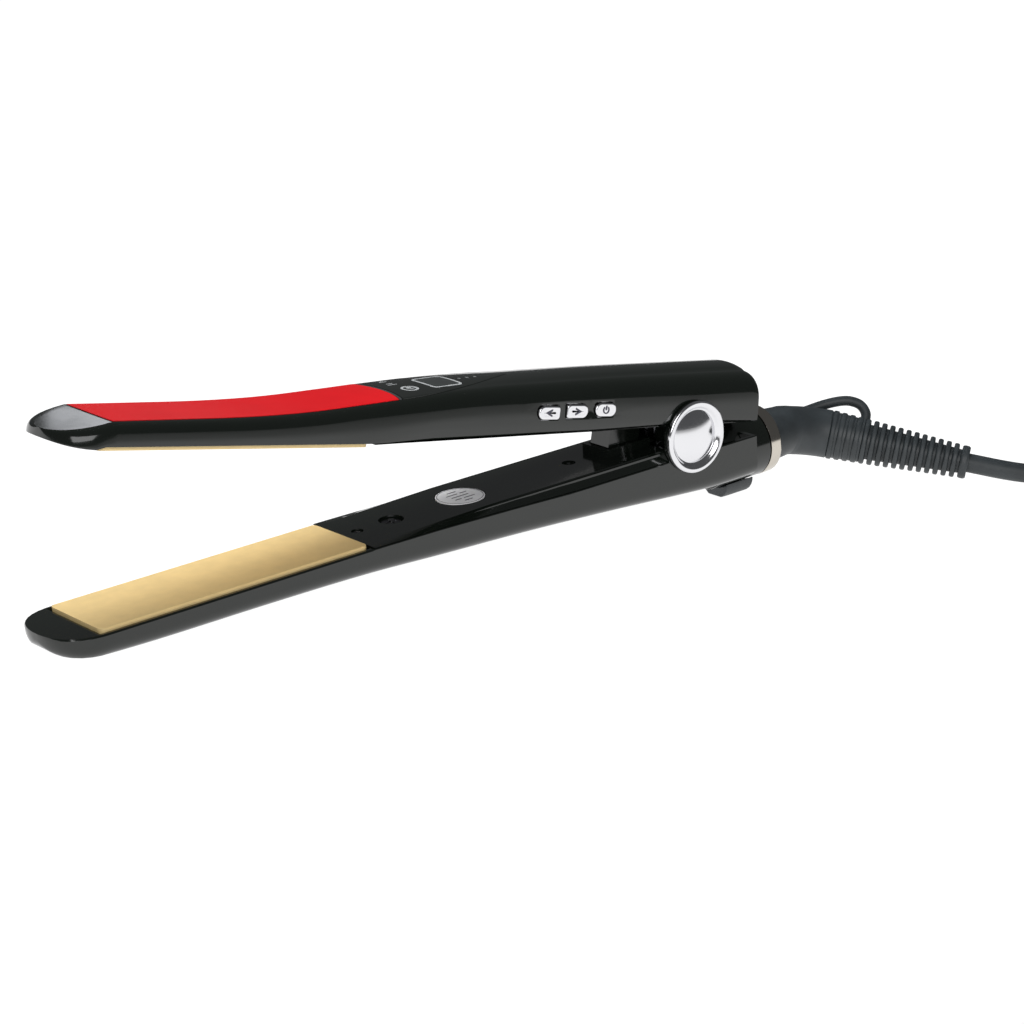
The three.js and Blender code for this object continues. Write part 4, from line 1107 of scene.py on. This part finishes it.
def leaf_outline(front, grow, curved):
    """The leaf of the control panel, from a straight or a curved front end to its tip."""
    w = TOP_HALF_WIDTH + grow
    tip = (-66 + 1.5 * grow, 0)
    points = [(front, -w), (PANEL_FRONT, -w)]
    points += cubic_to((PANEL_FRONT, -w), (-98, -w), (-86, -9 - grow), tip)
    points += cubic_to(tip, (-86, 9 + grow), (-98, w), (PANEL_FRONT, w))
    points.append((front, w))
    if curved:
        points += curve_to((front, w), (front + BULGE, 0), (front, -w))[:-1]
    return list(dict.fromkeys(points))


def button_outline(x, z, left_soft, right_soft, grow=0.0):
    """A button's outline: each end fully round or nearly square."""
    half, width = 2.1 + grow, 4.15 + grow
    left, right = (half if left_soft else 0.9), (half if right_soft else 0.9)
    q = pi / 2
    right_x, left_x = x + width - right, x - width + left
    return (arc(right_x, z - half + right, right, -q, 0) + arc(right_x, z + half - right, right, 0, q)
            + arc(left_x, z + half - left, left, q, 2 * q) + arc(left_x, z - half + left, left, 2 * q, 3 * q))


class STRAIGHTENER_OT_upper_casing(bpy.types.Operator):
    """Upper casing with its pocket for the inlay and controls, button openings and hinge notch"""

    bl_idname = "straightener.upper_casing"
    bl_label = "Upper casing"

    def execute(self, context):
        casing = skin(0)
        casing.name = "upper_shell"
        inside = [WINDOW_TIP, *steps_between(-210, REAR - REAR_ROUND, 26), 24, REAR - WALL]
        hollow = loft("hollow", inside, upper_hollow, UPPER)
        pocket = sheet("pocket", leaf_outline(INLAY_TIP - 0.25, 0.25, False), 1.5, 2.7)
        x, y, width, height, _ = WINDOW
        window = rounded(x, y, width - 1.2, height - 1.2, 1.4)
        cutters = [hollow, pocket, prism("window_hole", window, 3, 30, UPPER)]
        for (name, x, z), ends in zip(BUTTONS, BUTTON_ENDS):
            cutters.append(prism("button_hole", button_outline(x, z, *ends, 0.35), -20, -10, UPPER, "y"))
        cutters.append(prism("notch", circle(0, 0, EAR_RADIUS + 0.5, 72), -20, 20, UPPER, "y"))
        boolean(casing, cutters)
        soften(casing, sizes().casing_edge, 32)
        dress(casing, "gloss_black", "upper_arm", "upper_casing")
        bpy.data.collections["lit_by_back_softbox"].objects.link(casing)
        refined("upper_inner_cover", sizes().casing_edge, 20)
        return {"FINISHED"}


class STRAIGHTENER_OT_inlay(bpy.types.Operator):
    """Red inlay and the bright line at its end"""

    bl_idname = "straightener.inlay"
    bl_label = "Red inlay"

    def execute(self, context):
        inlay = sheet("red_inlay_lacquered", inlay_outline(), 0.15, 0.9)
        soften(inlay, 0.00025, 30, 3)
        dress(inlay, "red_gloss", "upper_arm", "red_inlay")
        trim = sheet("bright_line", trim_outline(), 0.12, 0.82)
        soften(trim, sizes().trim_edge, 30)
        dress(trim, "chrome", "upper_arm", "inlay_trim")
        return {"FINISHED"}


def printed(name, outline, inner=None):
    """Silver print on the control panel, or a printed frame when an inner outline is given."""
    low, high = 0.07, 0.13
    rings = [on_top(outline, low), on_top(outline, high)]
    if inner:
        rings += [on_top(inner, high), on_top(inner, low), rings[0]]
    obj = from_points(name, *rings_to_faces(rings, closed_ends=not inner), UPPER)
    clean(obj)
    soften(obj, 0)
    return dress(obj, "silver_print", "upper_arm")


class STRAIGHTENER_OT_controls(bpy.types.Operator):
    """Control panel with its window, symbol, lights and print"""

    bl_idname = "straightener.controls"
    bl_label = "Control panel"

    def execute(self, context):
        x, y, width, height, radius = WINDOW
        panel = sheet("leaf_panel", leaf_outline(PANEL_FRONT, 0, True), 0.1, 0.9)
        window = rounded(x, y, width + 0.4, height + 0.4, radius + 0.1)
        cutters = [prism("window_hole", window, 3, 30, UPPER)]
        cutters += [prism("light_hole", circle(led, 0, 0.75, 20), 3, 30, UPPER) for led in LEDS]
        boolean(panel, cutters)
        soften(panel, sizes().trim_edge, 30)
        dress(panel, "gloss_black", "upper_arm", "control_panel")
        pane = sheet("window_pane", rounded(*WINDOW), 0.1, 0.9)
        soften(pane, sizes().trim_edge, 30)
        dress(pane, "window", "upper_arm", "display_window")
        printed("window_frame", divided(rounded(x, y, width, height, radius)),
                divided(rounded(x, y, width - 1.6, height - 1.6, 1.3)))
        x, y = SYMBOL
        printed("symbol_ring", circle(x, y, 2.75, 40), circle(x, y, 2.0, 40))
        printed("symbol_dot", circle(x, y + 0.6, 0.85, 24))
        printed("symbol_hand", rounded(x + 1, y - 0.4, 2.0, 0.6, 0.25, 3))
        for k, (y, length) in enumerate(PANEL_LINES):
            printed(f"panel_line_{k + 1}", rounded(-106, y, length, 0.45, 0.15, 2))
        round_top = [(0.6 * cos(pi / 2 * i / 5), 0.02 + 0.18 * sin(pi / 2 * i / 5)) for i in range(1, 5)]
        lens = [(0, -5), (0.6, -5), (0.6, 0.02), *round_top, (0, 0.2)]
        for k, x in enumerate(LEDS):
            dome = lathe(f"light_lens_{k + 1}", lens, (x, 0, along(UPPER_CREST, x)), (0, 0, 1), 24, UPPER)
            soften(dome, 0, 50)
            dress(dome, "label", "upper_arm", f"light_pipe_{k + 1}", finish="clear_lens")
        return {"FINISHED"}


class STRAIGHTENER_OT_buttons(bpy.types.Operator):
    """Chrome side buttons with their symbols"""

    bl_idname = "straightener.buttons"
    bl_label = "Buttons"

    def execute(self, context):
        face = BUTTON_FACE
        flange = -13.6
        steps = [(-13, 0.7), (flange, 0.7), (flange, 0), (face + 0.5, 0), (face + 0.22, -0.06),
                 (face + 0.07, -0.2), (face, -0.5), (face + 0.06, -1.1), (face + 0.1, -1.6)]
        for (name, x, z), ends in zip(BUTTONS, BUTTON_ENDS):
            rings = [[(px, depth, pz) for px, pz in button_outline(x, z, *ends, grow)]
                     for depth, grow in steps]
            cap = from_points(f"{name}_cap", *rings_to_faces(rings), UPPER)
            soften(cap, 0, 40)
            dress(cap, "chrome", name, name)
        symbols = {
            "button_down": [[(-1.6, 0), (1.0, 1.2), (1.0, 0.6), (-0.3, 0), (1.0, -0.6), (1.0, -1.2)]],
            "button_up": [[(1.6, 0), (-1.0, -1.2), (-1.0, -0.6), (0.3, 0), (-1.0, 0.6), (-1.0, 1.2)]],
            "button_power": [[(-0.25, -0.1), (0.25, -0.1), (0.25, 1.35), (-0.25, 1.35)],
                             arc(0, 0, 1.25, radians(130), radians(410), 20)
                             + list(reversed(arc(0, 0, 0.85, radians(130), radians(410), 20)))],
        }
        for name, x, z in BUTTONS:
            for k, outline in enumerate(symbols[name]):
                placed = [(x + a, z + b) for a, b in outline]
                mark = prism(f"{name}_mark_{k + 1}", placed, face - 0.05, face + 0.2, UPPER, "y")
                soften(mark, 0)
                dress(mark, "dark_print", name)
        return {"FINISHED"}


class STRAIGHTENER_OT_insides(bpy.types.Operator):
    """Finishes for the pieces that show as they are in the frame"""

    bl_idname = "straightener.insides"
    bl_label = "Inside pieces"

    def execute(self, context):
        for node, obj in frame["nodes"].items():
            obj.data.materials.clear()
            obj.data.materials.append(finish_of(NODE_SLOT[node]))
        return {"FINISHED"}


# ---------------------------------------------------------------- stage
CAMERA_FROM_PIVOT = Vector((-0.6151, -0.6902, 0.2390))
CAMERA_TILT, CAMERA_TURN, CAMERA_LENS = radians(73.846), radians(-38.795), 105.47
FLOOR_Z = -0.02


def area_light(name, place, towards, width, height, energy, colour=(1, 1, 1)):
    """A rectangular softbox that faces a point."""
    data = bpy.data.lights.new(name, "AREA")
    data.shape = "RECTANGLE"
    data.size, data.size_y = width, height
    data.energy = energy
    data.color = colour
    light = bpy.data.objects.new(name, data)
    light.location = place
    light.rotation_euler = (Vector(towards) - Vector(place)).to_track_quat("-Z", "Y").to_euler()
    bpy.context.scene.collection.objects.link(light)
    return light


class STRAIGHTENER_OT_stage(bpy.types.Operator):
    """Camera, pale floor and soft lights"""

    bl_idname = "straightener.stage"
    bl_label = "Stage"

    def execute(self, context):
        scene = context.scene
        data = bpy.data.cameras.new("camera")
        data.lens = CAMERA_LENS
        data.sensor_width = 36
        data.clip_end = 50
        camera = bpy.data.objects.new("camera", data)
        camera.location = PIVOT + CAMERA_FROM_PIVOT
        camera.rotation_euler = (CAMERA_TILT, 0, CAMERA_TURN)
        scene.collection.objects.link(camera)
        scene.camera = camera
        half = sizes().floor_size / 2 / MM
        corners = [(x, y, FLOOR_Z) for x, y in ((-half, -half), (half, -half), (half, half), (-half, half))]
        floor = from_points("floor", corners, [(0, 1, 2, 3)])
        floor.data.materials.append(light_table())
        world = bpy.data.worlds.new("studio")
        world.use_nodes = True
        background = world.node_tree.nodes["Background"]
        background.inputs["Color"].default_value = (0.95, 0.97, 1, 1)
        background.inputs["Strength"].default_value = 0.09
        scene.world = world
        key = area_light("key", (0.3, 0.5, 1.25), (-0.02, 0, 0), 1.3, 0.7, 24)
        key.visible_glossy = False
        softbox = area_light("back_softbox", (0.427, 0.984, 0.505), (-0.078, -0.026, 0.05), 0.1, 0.13,
                             0.095, (0.93, 0.95, 1))
        lit = bpy.data.collections.new("lit_by_back_softbox")
        softbox.light_linking.receiver_collection = lit
        area_light("front_fill", (-0.9, -1.2, 0.9), (0, 0, 0.03), 1.5, 1.2, 19)
        scene.view_settings.view_transform = "Standard"
        return {"FINISHED"}


STEPS = ("stage", "cord", "strain_relief", "plug", "lower_casing", "lower_cover", "plates", "swivel", "hinge",
         "upper_casing", "inlay", "controls", "buttons", "insides")


class STRAIGHTENER_PT_panel(bpy.types.Panel):
    """Straightener pieces"""

    bl_label = "Straightener"
    bl_idname = "STRAIGHTENER_PT_panel"
    bl_space_type = "VIEW_3D"
    bl_region_type = "UI"
    bl_category = "Straightener"

    def draw(self, context):
        layout = self.layout
        for group in (context.scene.straightener_sizes, context.scene.straightener_colours):
            for name in group.__annotations__:
                layout.prop(group, name)
        for step in STEPS:
            layout.operator(f"straightener.{step}")


CLASSES = (StraightenerSizes, StraightenerColours, STRAIGHTENER_OT_stage, STRAIGHTENER_OT_cord,
           STRAIGHTENER_OT_strain_relief, STRAIGHTENER_OT_plug, STRAIGHTENER_OT_lower_casing,
           STRAIGHTENER_OT_lower_cover, STRAIGHTENER_OT_plates, STRAIGHTENER_OT_swivel, STRAIGHTENER_OT_hinge,
           STRAIGHTENER_OT_upper_casing, STRAIGHTENER_OT_inlay, STRAIGHTENER_OT_controls,
           STRAIGHTENER_OT_buttons, STRAIGHTENER_OT_insides, STRAIGHTENER_PT_panel)


def register():
    for cls in CLASSES:
        bpy.utils.register_class(cls)
    bpy.types.Scene.straightener_sizes = bpy.props.PointerProperty(type=StraightenerSizes)
    bpy.types.Scene.straightener_colours = bpy.props.PointerProperty(type=StraightenerColours)


def unregister():
    del bpy.types.Scene.straightener_sizes
    del bpy.types.Scene.straightener_colours
    for cls in reversed(CLASSES):
        bpy.utils.unregister_class(cls)


def main():
    register()
    for step in STEPS:
        getattr(bpy.ops.straightener, step)()


if __name__ == "__main__":
    main()
